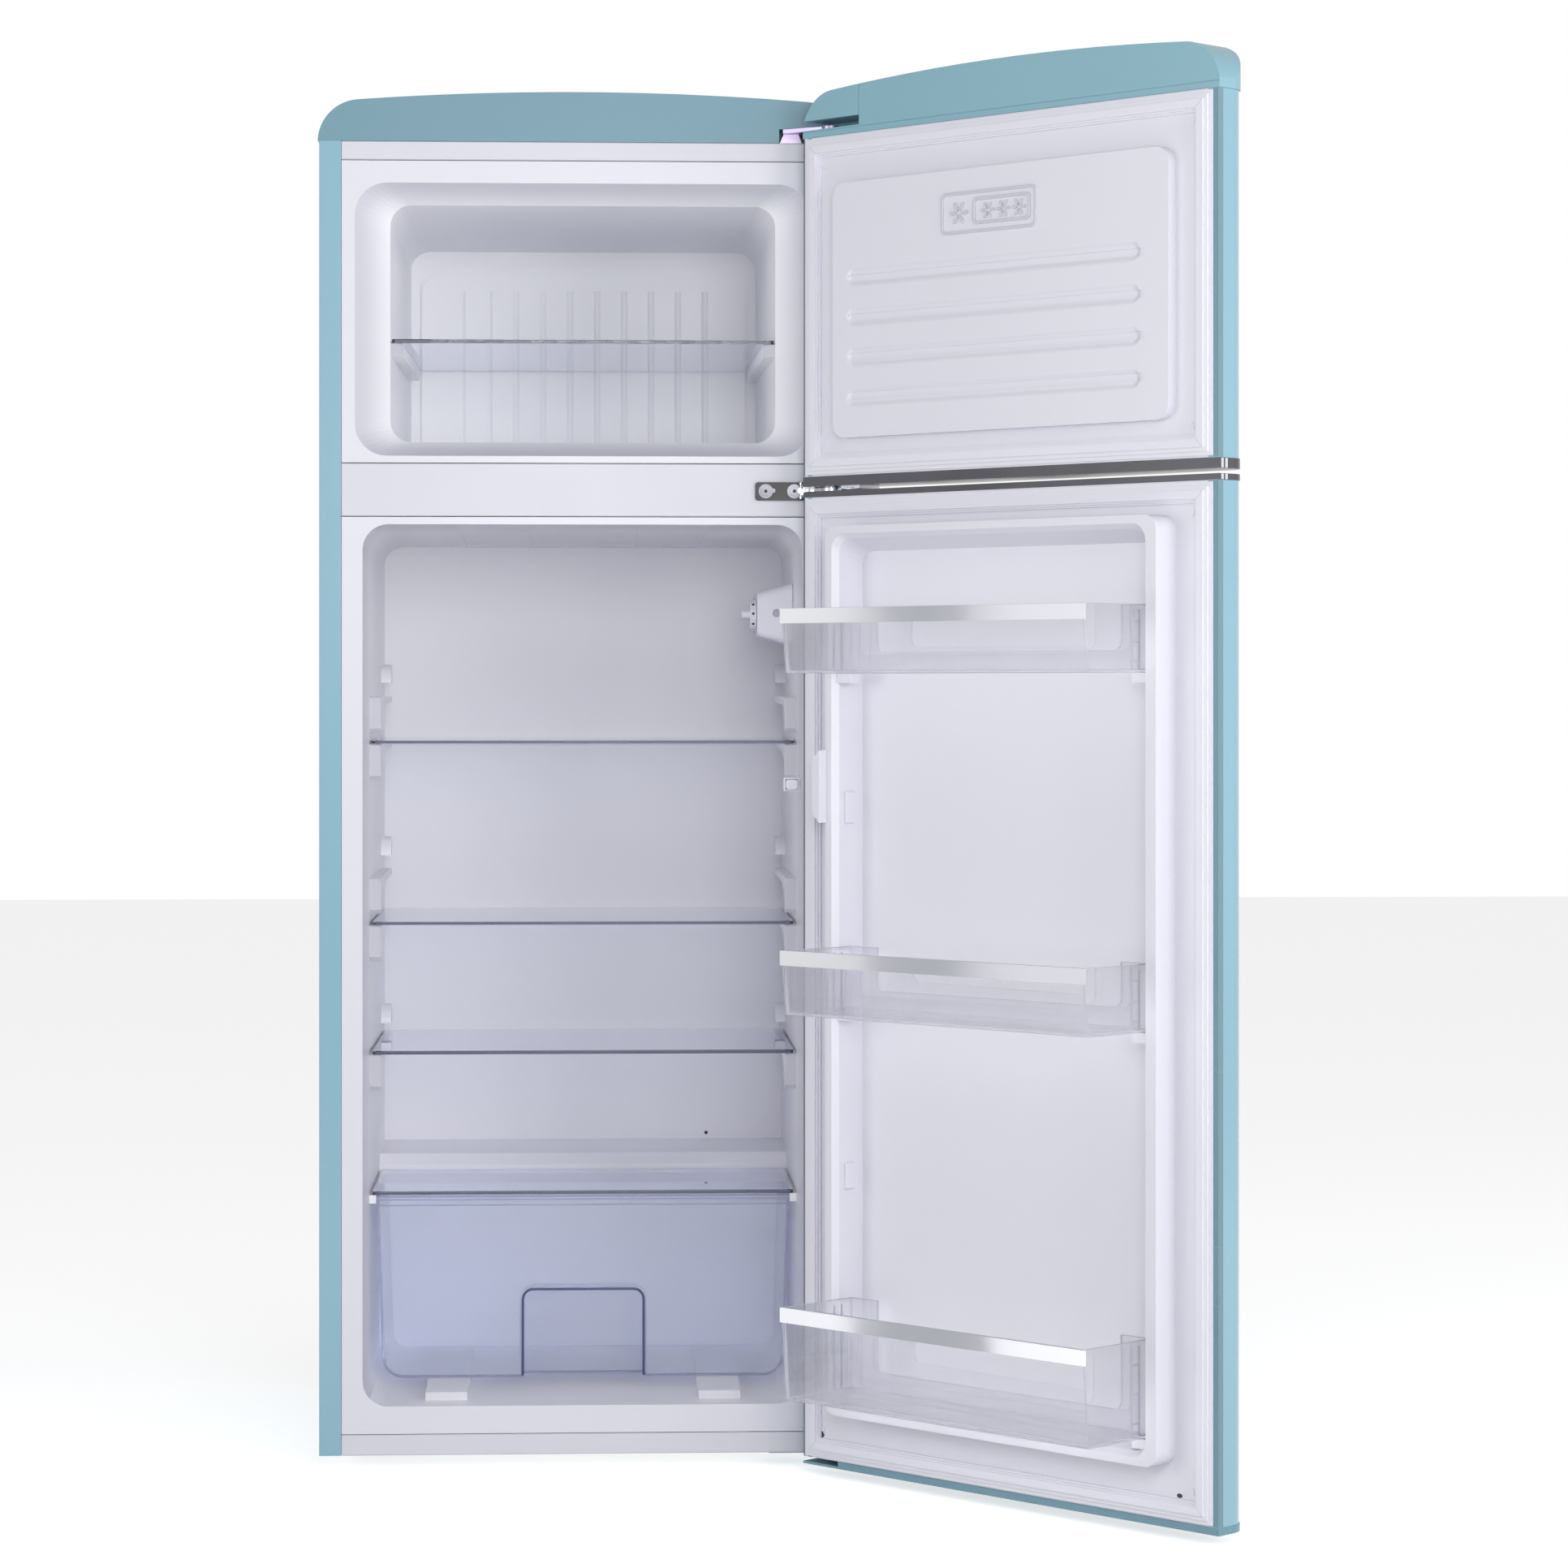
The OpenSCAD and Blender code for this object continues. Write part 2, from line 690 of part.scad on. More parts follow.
module switch_body() {
    color(white) place() difference() {
        block([switch_x - 8, fridge_half - 0.2], [switch_y, switch_y + 26], [switch_z - 7, switch_z + 7]);
        block([switch_x - plunger_half - 0.3, switch_x + plunger_half + 0.3], [switch_y - 1, switch_y + 23],
            [switch_z - plunger_h - 0.3, switch_z + plunger_h + 0.3]);
    }
}

module switch_plunger() {
    color(white) place() front_extrude([switch_y - 9, switch_y + 14])
        round_rect([switch_x - plunger_half, switch_x + plunger_half],
            [switch_z - plunger_h, switch_z + plunger_h], 2);
}

// ---------- hinges ----------

arm_half = 10;
arm_x = [half_w - 43, half_w - 25];
hinge_screw_x = [half_w - 84, half_w - 54];
plate_z = [cover_z + 9.4, cover_z + 13.4];
arm_z = [foot_h - 1.5, foot_h + 1.5];
arm_gap = 0.7;
mid_arm_z = [fridge_door[1] + fridge_trim_h + arm_gap, freezer_door[0] - freezer_trim_h - arm_gap];

// Flat hinge arm: from a base line inside the cabinet to a round end about the hinge axis
module arm_outline(x, y_back) {
    translate([hinge_x, hinge_y]) circle(arm_half);
    polygon(concat([[x[0], y_back], [x[1], y_back]], y_back > 0 ? [[x[1], 0]] : [],
        [[hinge_x + arm_half, hinge_y], [hinge_x, hinge_y - arm_half], [hinge_x - arm_half, hinge_y],
            [x[0], -6]]));
}

module top_hinge() {
    color(chrome) place() {
        difference() {
            translate([0, 0, plate_z[0]]) linear_extrude(plate_z[1] - plate_z[0])
                arm_outline([half_w - 66, half_w - 40], 28);
            for (x = [half_w - 60, half_w - 47]) translate([x, 20, plate_z[0] - 1]) cylinder(r = 2.6, h = 8);
        }
        front_extrude([3, 28])
            polygon([[half_w - 69, cover_z], [half_w - 46, cover_z],
                [half_w - 49, plate_z[0]], [half_w - 65, plate_z[0]]]);
        translate([hinge_x, hinge_y, plate_z[0] - 22]) cylinder(r = pin_r, h = 24);
    }
}

module middle_hinge_plate() {
    color(dark) place() difference() {
        front_extrude([-3, 0]) round_rect([half_w - 95, half_w - 29], [fridge_z1 + 17.3, fridge_z1 + 36.5], 3);
        for (x = hinge_screw_x) translate([x, 1, fridge_z1 + 27]) rotate([90, 0, 0]) cylinder(r = 3.2, h = 6);
    }
}

module middle_hinge_screws() {
    color(chrome) place() for (x = hinge_screw_x)
        translate([x, -3, fridge_z1 + 27]) rotate([90, 0, 0]) difference() {
            union() {
                cylinder(r = 6.5, h = 1);
                cylinder(r = 4.8, h = 3);
                translate([0, 0, -12]) cylinder(r = 3, h = 13);
            }
            translate([0, 0, 1.8]) cylinder(r = 2, h = 3, $fn = 6);
        }
}

module middle_hinge_arm() {
    color(chrome) place() {
        translate([0, 0, mid_arm_z[0]]) linear_extrude(mid_arm_z[1] - mid_arm_z[0]) difference() {
            arm_outline(arm_x, -3);
            translate([hinge_x - 21, -22]) square([4, 12]);
        }
        translate([hinge_x, hinge_y, mid_arm_z[0] - 18])
            cylinder(r = pin_r, h = mid_arm_z[1] - mid_arm_z[0] + 36);
        // turned tab against the plate
        block([arm_x[0] - 2, arm_x[0] + 11], [-4.6, -3], [mid_arm_z[0] - 4, mid_arm_z[1] + 4]);
    }
}

module bottom_hinge() {
    color(grey) place() {
        translate([0, 0, arm_z[0]]) linear_extrude(arm_z[1] - arm_z[0]) arm_outline(arm_x, rail_d);
        block([half_w - 80, arm_x[1]], [rail_d - 6, rail_d + 40], [arm_z[0] - 1.5, foot_h]);
        translate([hinge_x, hinge_y, arm_z[1] - 1]) cylinder(r = pin_r, h = 18);
    }
}

// ---------- shelves and drawer ----------

// Glass plate whose top is at z, tapered from the front to the back
module glass_plate(z, halves, y) {
    color(glass) place() translate([0, 0, z - glass_t]) linear_extrude(glass_t)
        polygon([[-halves[0] + 3, y[0]], [halves[0] - 3, y[0]], [halves[0], y[0] + 3], [halves[1], y[1]],
            [-halves[1], y[1]], [-halves[0], y[0] + 3]]);
}

freezer_shelf_ys = [lip_d + 3, liner_d - 12];
freezer_shelf_halves = [freezer_wall_x(lip_d) - 1.5, freezer_wall_x(liner_d) - 1.5];
shelf_half = fridge_half - fridge_draft - 2;
shelf_ys = [shelf_y, shelf_y + shelf_d];
cover_ys = [shelf_y, step_y - 3];

module freezer_shelf() {
    glass_plate(freezer_shelf_z, freezer_shelf_halves, freezer_shelf_ys);
}

module shelf_1() {
    glass_plate(shelf_zs[0], [shelf_half, shelf_half], shelf_ys);
}

module shelf_2() {
    glass_plate(shelf_zs[1], [shelf_half, shelf_half], shelf_ys);
}

module shelf_3() {
    glass_plate(shelf_zs[2], [shelf_half, shelf_half], shelf_ys);
}

module drawer_cover() {
    glass_plate(cover_glass_z, [shelf_half, shelf_half], cover_ys);
}

// Clear profile under the front edge of the drawer's cover
module drawer_cover_trim() {
    half = drawer_half - 1;
    color(clear) place() front_extrude([shelf_y + 0.5, shelf_y + 7])
        polygon([[-half, cover_glass_z - glass_t - 2], [half, cover_glass_z - glass_t - 2],
            [half, cover_glass_z - glass_t], [-half, cover_glass_z - glass_t]]);
}

drawer_z = [fridge_open[0] + 8.5, cover_glass_z - glass_t - 2.5];
drawer_ys = [shelf_y + 1, step_y - 6];
rim_h = 9;
drawer_half = shelf_half - 4.5;
grip_half = 65;
grip_top = drawer_z[0] + 94;
grip_d = 24;

// Drawer body seen from the front, slightly tapered with round lower corners
module drawer_front_form(inset) {
    r = 22 - inset;
    top = drawer_z[1] + (inset > 0 ? 5 : 0);
    corner_x = drawer_half - 28;
    corner_z = drawer_z[0] + 22;
    lean = 1.9;
    side_x = corner_x + r * cos(lean);
    side_z = corner_z - r * sin(lean);
    top_x = side_x + (top - side_z) * tan(lean);
    for (s = [-1, 1]) translate([s * corner_x, corner_z]) circle(r);
    translate([-corner_x, corner_z - r]) square([2 * corner_x, r]);
    polygon([[-side_x, side_z], [side_x, side_z], [top_x, top], [-top_x, top]]);
}

module grip_form(grow) {
    round_rect([-grip_half - grow, grip_half + grow], [drawer_z[0] - 30, grip_top + grow], 11 + grow);
}

module crisper_drawer() {
    t = clear_t;
    color(clear) place() {
        difference() {
            front_extrude(drawer_ys) drawer_front_form(0);
            difference() {
                front_extrude([drawer_ys[0] + t, drawer_ys[1] - t]) drawer_front_form(t);
                front_extrude([0, drawer_ys[0] + grip_d + t]) grip_form(t);
            }
            front_extrude([0, drawer_ys[0] + grip_d]) grip_form(0);
            // step of the rim along the front
            front_extrude([0, drawer_ys[0] + 0.8])
                translate([-drawer_half - 5, drawer_z[1] - rim_h]) square([2 * drawer_half + 10, rim_h - 3]);
        }
    }
}

// ---------- doors ----------

// Door outline seen from above, from the rim plane to the bulged face
module door_plan(inset) {
    translate([0, -rim_gap]) mirror([0, 1])
        arched(cabinet_w - 2 * inset, 0, door_t - inset, door_edge_r - inset, door_face_r - inset);
}

module door_sheet(z) {
    translate([0, 0, z[0]]) linear_extrude(z[1] - z[0]) difference() {
        door_plan(0);
        intersection() {
            door_plan(sheet_t);
            translate([-half_w, -rim_gap - sheet_t - 100]) square([cabinet_w, 100]);
        }
        translate([-half_w + rim_w, -rim_gap - 3]) square([cabinet_w - 2 * rim_w, 4]);
    }
}

// Insulation of a door, with room for the hinge bushes at both ends
module door_core(z, bosses) {
    difference() {
        translate([0, 0, z[0]]) linear_extrude(z[1] - z[0]) intersection() {
            door_plan(sheet_t);
            translate([-half_w, -rim_gap - 3.2 - 100]) square([cabinet_w, 100]);
        }
        for (b = bosses) translate([hinge_x, hinge_y, b[0]]) cylinder(r = bush_r + 0.5, h = b[1] - b[0]);
    }
}

bush_r = 8.5;
bush_len = 20;

// Bored bush for a hinge pin
module bush(z) {
    translate([hinge_x, hinge_y, z[0]]) cylinder(r = bush_r, h = z[1] - z[0]);
}

module pin_bore(z) {
    translate([hinge_x, hinge_y, z[0]]) cylinder(r = pin_r + pin_fit, h = z[1] - z[0]);
}

// Magnetic gasket: three stepped frames one on another
module gasket(z) {
    for (i = [0 : len(gasket_steps) - 1]) {
        step = gasket_steps[i];
        low = i == 0 ? 0 : gasket_steps[i - 1][2];
        outer = step[0];
        inner = step[1];
        front_extrude([-rim_gap + low, -rim_gap + step[2]]) difference() {
            translate([-half_w + outer, z[0] + outer]) square([cabinet_w - 2 * outer, z[1] - z[0] - 2 * outer]);
            translate([-half_w + inner, z[0] + inner]) square([cabinet_w - 2 * inner, z[1] - z[0] - 2 * inner]);
        }
    }
}

// Long rounded form with flat ends in the front view, for grooves
module groove(x, z, r, y) {
    front_extrude(y) round_rect(x, [z - r, z + r], r - 0.01);
}

// Arched chrome bar on two posts with round bases
module handle(z) {
    mid = (z[0] + z[1]) / 2;
    half = (z[1] - z[0]) / 2;
    bow_r = 4 * half;
    x = -half_w + handle_in;
    face_y = -rim_gap - 47;
    reach = 34;
    sweep = asin(half / bow_r);
    post_y = face_y - reach;
    color(chrome) on_door() difference() {
        union() {
            translate([x, post_y + bow_r * cos(sweep) - 0.5, mid]) rotate([0, 0, -90]) rotate([90, 0, 0])
                rotate([0, 0, -sweep]) rotate_extrude(angle = 2 * sweep, $fn = 180)
                translate([bow_r, 0]) circle(handle_r);
            for (s = [-1, 1]) translate([x, post_y, mid + s * half]) {
                sphere(handle_r);
                rotate([-90, 0, 0]) cylinder(r = handle_r - 1.5, h = reach + 2);
                translate([0, reach - 8, 0]) rotate([-90, 0, 0]) cylinder(r = handle_r + 3, h = 8);
            }
        }
        translate([0, 0, z[0] - 20]) linear_extrude(z[1] - z[0] + 40) door_plan(-0.02);
    }
}

// ---------- freezer door ----------

cap_floor_z = cover_z + 8;
cap_slot_z = cover_z + 18;
freezer_bosses = [[freezer_door[0] - 1, freezer_door[0] + bush_len], [cover_z - bush_len, cover_z + 1]];

module freezer_door_shell() {
    color(turquoise) on_door() door_sheet(freezer_door);
}

module freezer_door_foam() {
    color(foam) on_door() {
        door_core([freezer_door[0], freezer_door[1]], freezer_bosses);
        front_extrude([-rim_gap - 3.3, -rim_gap + 8])
            round_rect([freezer_panel_x[0] + 4, freezer_panel_x[1] - 4],
                [freezer_panel_z[0] + 4, freezer_panel_z[1] - 4], 13);
    }
}

// The cap's full form: arched from the front, bulged from above
module cap_form() {
    intersection() {
        front_extrude([-rim_gap - door_t - 5, -rim_gap])
            arched(cabinet_w + 2 * overhang + 1.2, cover_z, crown_z() + 4, corner_r, arch_r);
        translate([0, 0, cover_z]) linear_extrude(cover_h + 10) door_plan(-overhang);
    }
}

module freezer_door_cap() {
    color(turquoise) on_door() difference() {
        union() {
            difference() {
                cap_form();
                block([hinge_cut_x, half_w + 5], [slot_back_y - 50, 5], [cap_slot_z, crown_z() + 10]);
                block([hinge_cut_x, half_w + 5], [slot_back_y, 5], [cap_floor_z, cap_slot_z + 1]);
                block([-half_w + 20, hinge_cut_x - 12], [-rim_gap - door_t + 14, -rim_gap - 5],
                    [cover_z - 1, cover_z + 34]);
                // groove line along the lower edge of the inner face
                block([-half_w - 5, half_w + 5], [-rim_gap - 0.8, 5], [cover_z + 5.6, cover_z + 6.6]);
            }
            bush([cover_z - bush_len + 1, cover_z + 2]);
        }
        pin_bore([cover_z - bush_len, cap_floor_z + 1]);
    }
}

module freezer_hinge_cover() {
    color(turquoise) on_door() intersection() {
        cap_form();
        block([hinge_cut_x + 0.5, half_w + 5], [-rim_gap - door_t - 10, 5], [cap_slot_z, crown_z() + 10]);
    }
}

module freezer_door_trim() {
    z0 = freezer_door[0] - freezer_trim_h;
    color(chrome) on_door() difference() {
        union() {
            translate([0, 0, z0]) linear_extrude(freezer_trim_h) door_plan(-1);
            bush([freezer_door[0] - 1, freezer_door[0] + bush_len - 1]);
        }
        pin_bore([z0 - 1, freezer_door[0] + bush_len]);
    }
}

// Steel bracket under the freezer door, beside the middle hinge
module freezer_door_bracket() {
    z1 = freezer_door[0] - freezer_trim_h;
    z0 = z1 - 3.4;
    color(grey) on_door() difference() {
        translate([0, 0, z0]) linear_extrude(z1 - z0)
            polygon([[half_w - 75, -12], [half_w - 49, -12], [half_w - 37, -26],
                [half_w - 37, -42], [half_w - 75, -42]]);
        // slot along its inner edge
        block([half_w - 68, half_w - 53], [-17, -11], [z0 - 1, z0 + 1.5]);
    }
}

freezer_panel_x = [-half_w + 52, half_w - 52];
freezer_panel_z = [freezer_door[0] + 38, freezer_door[1] - 52];
freezer_panel_h = 11;
freezer_groove_zs = [1116, 1156, 1196, 1236];

module freezer_door_liner() {
    y0 = -rim_gap - sheet_t - 2;
    color(white) on_door() difference() {
        union() {
            block([-half_w + rim_w, half_w - rim_w], [y0, -rim_gap],
                    [freezer_door[0] + 0.3, freezer_door[1] - 0.3]);
            front_extrude([y0, -rim_gap + freezer_panel_h]) round_rect(freezer_panel_x, freezer_panel_z, 16);
        }
        front_extrude([y0 - 1, -rim_gap + freezer_panel_h - liner_t])
            round_rect([freezer_panel_x[0] + 3, freezer_panel_x[1] - 3],
                [freezer_panel_z[0] + 3, freezer_panel_z[1] - 3], 13);
        for (z = freezer_groove_zs)
            groove([freezer_panel_x[0] + 30, freezer_panel_x[1] - 20], z, 4,
                [-rim_gap + freezer_panel_h - 1.5, 20]);
    }
}

module freezer_door_gasket() {
    color(white) on_door() gasket([freezer_door[0] - 4, freezer_door[1] + 4]);
}

module freezer_door_handle() {
    z0 = freezer_door[0] + 40;
    handle([z0, z0 + freezer_handle_l]);
}

// ---------- refrigerator door ----------

fridge_bosses = [[fridge_door[0] - 1, fridge_door[0] + bush_len],
    [fridge_door[1] - bush_len, fridge_door[1] + 1]];

module fridge_door_shell() {
    color(turquoise) on_door() door_sheet(fridge_door);
}

module fridge_door_foam() {
    color(foam) on_door() difference() {
        door_core(fridge_door, fridge_bosses);
        recess_pan(4.5);
        block([arm_x[0] - 8, half_w], [-rim_gap - door_t, 0], [fridge_door[0] - 1, fridge_door[0] + 3.4]);
    }
}

module fridge_door_trim() {
    z1 = fridge_door[1] + fridge_trim_h;
    color(chrome) on_door() difference() {
        union() {
            translate([0, 0, fridge_door[1]]) linear_extrude(fridge_trim_h) door_plan(-1);
            bush([fridge_door[1] - bush_len + 1, fridge_door[1] + 1]);
        }
        pin_bore([fridge_door[1] - bush_len, z1 + 1]);
    }
}

// Bottom cap with the slot for the lower hinge arm
module fridge_door_base() {
    z0 = fridge_door[0] - base_h;
    slot_x = arm_x[0] - 6;
    color(turquoise) on_door() difference() {
        union() {
            translate([0, 0, z0]) linear_extrude(base_h) door_plan(-0.8);
            translate([0, 0, fridge_door[0]]) linear_extrude(3) intersection() {
                door_plan(sheet_t + 0.3);
                translate([slot_x - 1, -rim_gap - door_t]) square([half_w, door_t - 4]);
            }
            bush([fridge_door[0] + 1, fridge_door[0] + bush_len - 1]);
        }
        block([slot_x, half_w + 5], [slot_back_y, 5], [z0 + 2.5, fridge_door[0]]);
        pin_bore([z0 + 2.5, fridge_door[0] + bush_len]);
    }
}

// Outside of the liner's recess where it sinks into the insulation
module recess_pan(grow) {
    front_extrude([-rim_gap - recess_d - grow, -rim_gap])
        round_rect([recess_x[0] - grow, recess_x[1] + grow], [recess_z[0] - grow, recess_z[1] + grow], 14);
}

// Hollow of the recess, from its floor to the crest of the raised frame
module recess_hollow() {
    centre = (recess_x[0] + recess_x[1]) / 2;
    half = (recess_x[1] - recess_x[0]) / 2;
    crest = -rim_gap + dyke_h;
    translate([centre, 0, 0]) loft([
        [half - 1, [recess_z[0] + 10, recess_z[1] - 12], 14, -rim_gap - recess_d],
        [half, recess_z, 14, crest - 7],
        [half + 5, [recess_z[0] - 6, recess_z[1] + 6], 18, crest + 1]
    ]);
}

module fridge_door_liner() {
    y0 = -rim_gap - sheet_t - 2;
    y1 = -rim_gap + dyke_h;
    color(white) on_door() {
        // panel with a raised frame that stiffens it and carries the bins
        difference() {
            union() {
                block([-half_w + rim_w, half_w - rim_w], [y0, -rim_gap],
                    [fridge_door[0] + 0.3, fridge_door[1] - 0.3]);
                front_extrude([-rim_gap - 0.5, y1]) round_rect(dyke_x, dyke_z, 14);
                recess_pan(4);
            }
            recess_hollow();
        }
        // lugs the bins stand on
        for (z = bin_bottoms, s = [0, 1])
            block([s == 0 ? recess_x[0] - 1 : bin_x0 + bin_len - 14, s == 0 ? bin_x0 + 14 : recess_x[1] + 1],
                [-rim_gap + bin_back + 1, -rim_gap + dyke_h - 4], [z - 10, z - shelf_gap]);
        // cam that works the lamp switch
        front_extrude([-rim_gap, switch_y - 9.4])
            polygon([[dyke_x[1] - 1, switch_z - 36], [dyke_x[1] + 9, switch_z - 26],
                [dyke_x[1] + 9, switch_z + 28], [dyke_x[1] - 1, switch_z + 38]]);
    }
}

module fridge_door_gasket() {
    color(white) on_door() gasket([fridge_door[0] - 4, fridge_door[1] + 4]);
}

module fridge_door_handle() {
    z1 = fridge_door[1] - 90;
    handle([z1 - fridge_handle_l, z1]);
}

// ---------- door bins ----------

// Bin seen from the side of the door: back at the left, slanted front at the right
module bin_side_form(z, inset) {
    top = z[1] + (inset > 0 ? 5 : 0);
    front = -rim_gap + bin_out;
    polygon([[-rim_gap + bin_back + inset, z[0] + inset], [-rim_gap + bin_back + inset, top],
        [front - inset, top], [front - inset, z[1] - bin_strip_h], [front - 6 - inset, z[0] + inset]]);
}

// Low back of a bin between its two end tabs
module bin_back_opening(x, z) {
    back_y = -rim_gap + bin_back;
    front_extrude([back_y - 1, back_y + clear_t + 1])
        round_rect([x[0] + 40, x[1] - 40], [z[0] + 21, z[1] + 20], 10);
}

// Ladder of ribs inside the end wall of a bin
module bin_ladder(x, z) {
    n0 = -rim_gap + 26;
    n1 = -rim_gap + 37;
    for (n = [n0, n1]) block([x, x + 1], [n, n + 1.2], [z[0] + 1, z[1] - 5]);
    for (k = [0.15, 0.45, 0.75])
        block([x, x + 1], [n0, n1], [z[0] + k * (z[1] - z[0]), z[0] + k * (z[1] - z[0]) + 1.2]);
}

module bin(i) {
    z = [bin_bottoms[i], bin_tops[i]];
    x = [bin_x0, bin_x0 + bin_len];
    lens = [x[0] + 2, x[1] - 2];
    color(clear) on_door() {
        difference() {
            side_extrude(lens) bin_side_form(z, 0);
            side_extrude([lens[0] + clear_t, lens[1] - clear_t]) bin_side_form(z, clear_t);
            bin_back_opening(x, z);
        }
        bin_ladder(lens[0] + clear_t - 0.1, z);
        bin_ladder(lens[1] - clear_t - 0.9, z);
    }
}

module bin_strip(i) {
    z1 = bin_tops[i];
    front = -rim_gap + bin_out;
    color(chrome) on_door()
        block([bin_x0, bin_x0 + bin_len], [front, front + 1.6], [z1 - bin_strip_h, z1]);
}

module bin_1() {
    bin(0);
}

module bin_1_strip() {
    bin_strip(0);
}

module bin_2() {
    bin(1);
}

module bin_2_strip() {
    bin_strip(1);
}

module bin_3() {
    bin(2);
}

module bin_3_strip() {
    bin_strip(2);
}

cabinet_shell();
back_panel();
cabinet_foam();
top_cover();
top_rail();
middle_rail();
bottom_rail();
freezer_liner();
fridge_liner();
base_pan();
compressor();
terminal_box();
drip_tray();
condenser();
lamp_housing();
lamp_lens();
switch_body();
switch_plunger();
thermostat_knob();
top_hinge();
middle_hinge_plate();
middle_hinge_arm();
middle_hinge_screws();
bottom_hinge();
freezer_shelf();
shelf_1();
shelf_2();
shelf_3();
drawer_cover();
drawer_cover_trim();
crisper_drawer();
foot_left();
foot_right();
roller_left();
roller_right();
freezer_door_shell();
freezer_door_cap();
freezer_hinge_cover();
freezer_door_trim();
freezer_door_bracket();
freezer_door_liner();
freezer_door_gasket();
freezer_door_foam();
freezer_door_handle();
fridge_door_shell();
fridge_door_trim();
fridge_door_base();
fridge_door_liner();
fridge_door_gasket();
fridge_door_foam();
fridge_door_handle();
bin_1();
bin_1_strip();
bin_2();
bin_2_strip();
bin_3();
bin_3_strip();
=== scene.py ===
# %% [markdown]
# A retro top-freezer refrigerator, dressed for its portrait.
# The rigid parts come packed from the CAD model and stay exactly where they are. This script gives
# them their finishes and adds the small things a maker would not draw in CAD: an embossed sign,
# wires, pipes, edge lines and rounded edges.
import json
import math
import bmesh
import bpy
from mathutils import Matrix, Vector


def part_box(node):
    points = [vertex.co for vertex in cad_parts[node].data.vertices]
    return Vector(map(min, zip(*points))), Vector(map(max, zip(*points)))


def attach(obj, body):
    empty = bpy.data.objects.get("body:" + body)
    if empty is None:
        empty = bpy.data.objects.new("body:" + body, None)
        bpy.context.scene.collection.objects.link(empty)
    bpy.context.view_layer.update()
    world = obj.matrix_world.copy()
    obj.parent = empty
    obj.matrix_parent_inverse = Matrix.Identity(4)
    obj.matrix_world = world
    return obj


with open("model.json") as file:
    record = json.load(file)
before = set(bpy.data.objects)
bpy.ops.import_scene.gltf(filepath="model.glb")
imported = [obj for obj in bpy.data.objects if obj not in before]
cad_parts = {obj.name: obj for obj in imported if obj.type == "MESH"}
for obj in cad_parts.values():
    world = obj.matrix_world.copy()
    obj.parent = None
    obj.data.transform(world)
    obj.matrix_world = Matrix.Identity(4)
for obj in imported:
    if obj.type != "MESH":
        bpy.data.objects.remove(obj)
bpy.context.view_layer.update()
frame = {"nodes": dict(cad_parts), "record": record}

record = frame["record"]
joints = {j["name"]: j for j in record["behaviour"]["joints"]}

# %% [markdown]
# Lengths are in metres here; the small pieces further down are given in millimetres. Many places
# come from the boxes of the CAD nodes and follow their part. Some small marks, such as the star sign,
# the spare lugs and the drain holes, are plain numbers and have to be moved by hand. The doors stand
# open, so a helper turns a point that is easy to think of on a closed door to the open one.

# %% Places read from the parts
shell_lo, shell_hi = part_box("cabinet_shell")
half_width = shell_hi[0]
front_y = shell_lo[1]
back_y = shell_hi[1]
hinge = joints["fridge_door_swing"]
hinge_point = Vector(hinge["pos_m"])
open_angle = math.radians(-hinge["range_deg"][0])
print("half width", round(half_width, 4), "front", round(front_y, 4))
print("doors open", round(math.degrees(open_angle), 1))


def swing():
    """The turn that takes a closed door to its open rest place."""
    about = Matrix.Translation(Vector((hinge_point.x, hinge_point.y, 0)))
    return about @ Matrix.Rotation(open_angle, 4, "Z") @ about.inverted()


# %% [markdown]
# The camera stands level, a little above the middle of the refrigerator's height, and looks slightly
# to the right. A long lens from about four and a half metres keeps the walls of the compartments
# nearly parallel, and a small vertical shift frames the object without tilting the camera.

# %% Camera
camera_data = bpy.data.cameras.new("camera")
camera_data.lens = 98.0
camera_data.sensor_width = 36.0
camera_data.shift_y = -0.0597
camera_data.clip_end = 60.0
camera = bpy.data.objects.new("camera", camera_data)
camera.location = (0.0066, front_y - 4.4687, 0.8145)
camera.rotation_euler = (math.radians(90), 0, math.radians(-2.61))
bpy.context.scene.collection.objects.link(camera)
bpy.context.scene.camera = camera
bpy.context.scene.view_settings.view_transform = "Standard"
print("camera at", tuple(round(v, 3) for v in camera.location))

# %% [markdown]
# A white surround should be seen, but it should not light the object. Light Path tells what kind of
# ray asks: the camera, a mirror or a clear part gets plain white, and all other rays get a weak,
# slightly cool fill. The floor uses the same test further down.

# %% World


def seen_directly(tree):
    """1 for rays of the camera, of mirrors and through clear parts, 0 for all others."""
    kinds = tree.nodes.new("ShaderNodeLightPath")
    seen = kinds.outputs["Is Camera Ray"]
    for kind in ("Is Glossy Ray", "Is Transmission Ray"):
        either = tree.nodes.new("ShaderNodeMath")
        either.operation = "MAXIMUM"
        tree.links.new(seen, either.inputs[0])
        tree.links.new(kinds.outputs[kind], either.inputs[1])
        seen = either.outputs[0]
    return seen


fill_strength = 0.22
world = bpy.data.worlds.new("studio")
bpy.context.scene.world = world
world.use_nodes = True
wn = world.node_tree
wn.nodes.clear()
world_out = wn.nodes.new("ShaderNodeOutputWorld")
fill_light = wn.nodes.new("ShaderNodeBackground")
fill_light.inputs["Color"].default_value = (0.98, 0.98, 1.0, 1)
fill_light.inputs["Strength"].default_value = fill_strength
seen_white = wn.nodes.new("ShaderNodeBackground")
seen_white.inputs["Color"].default_value = (1, 1, 1, 1)
seen_white.inputs["Strength"].default_value = 1.0
world_mix = wn.nodes.new("ShaderNodeMixShader")
wn.links.new(seen_directly(wn), world_mix.inputs["Fac"])
wn.links.new(fill_light.outputs[0], world_mix.inputs[1])
wn.links.new(seen_white.outputs[0], world_mix.inputs[2])
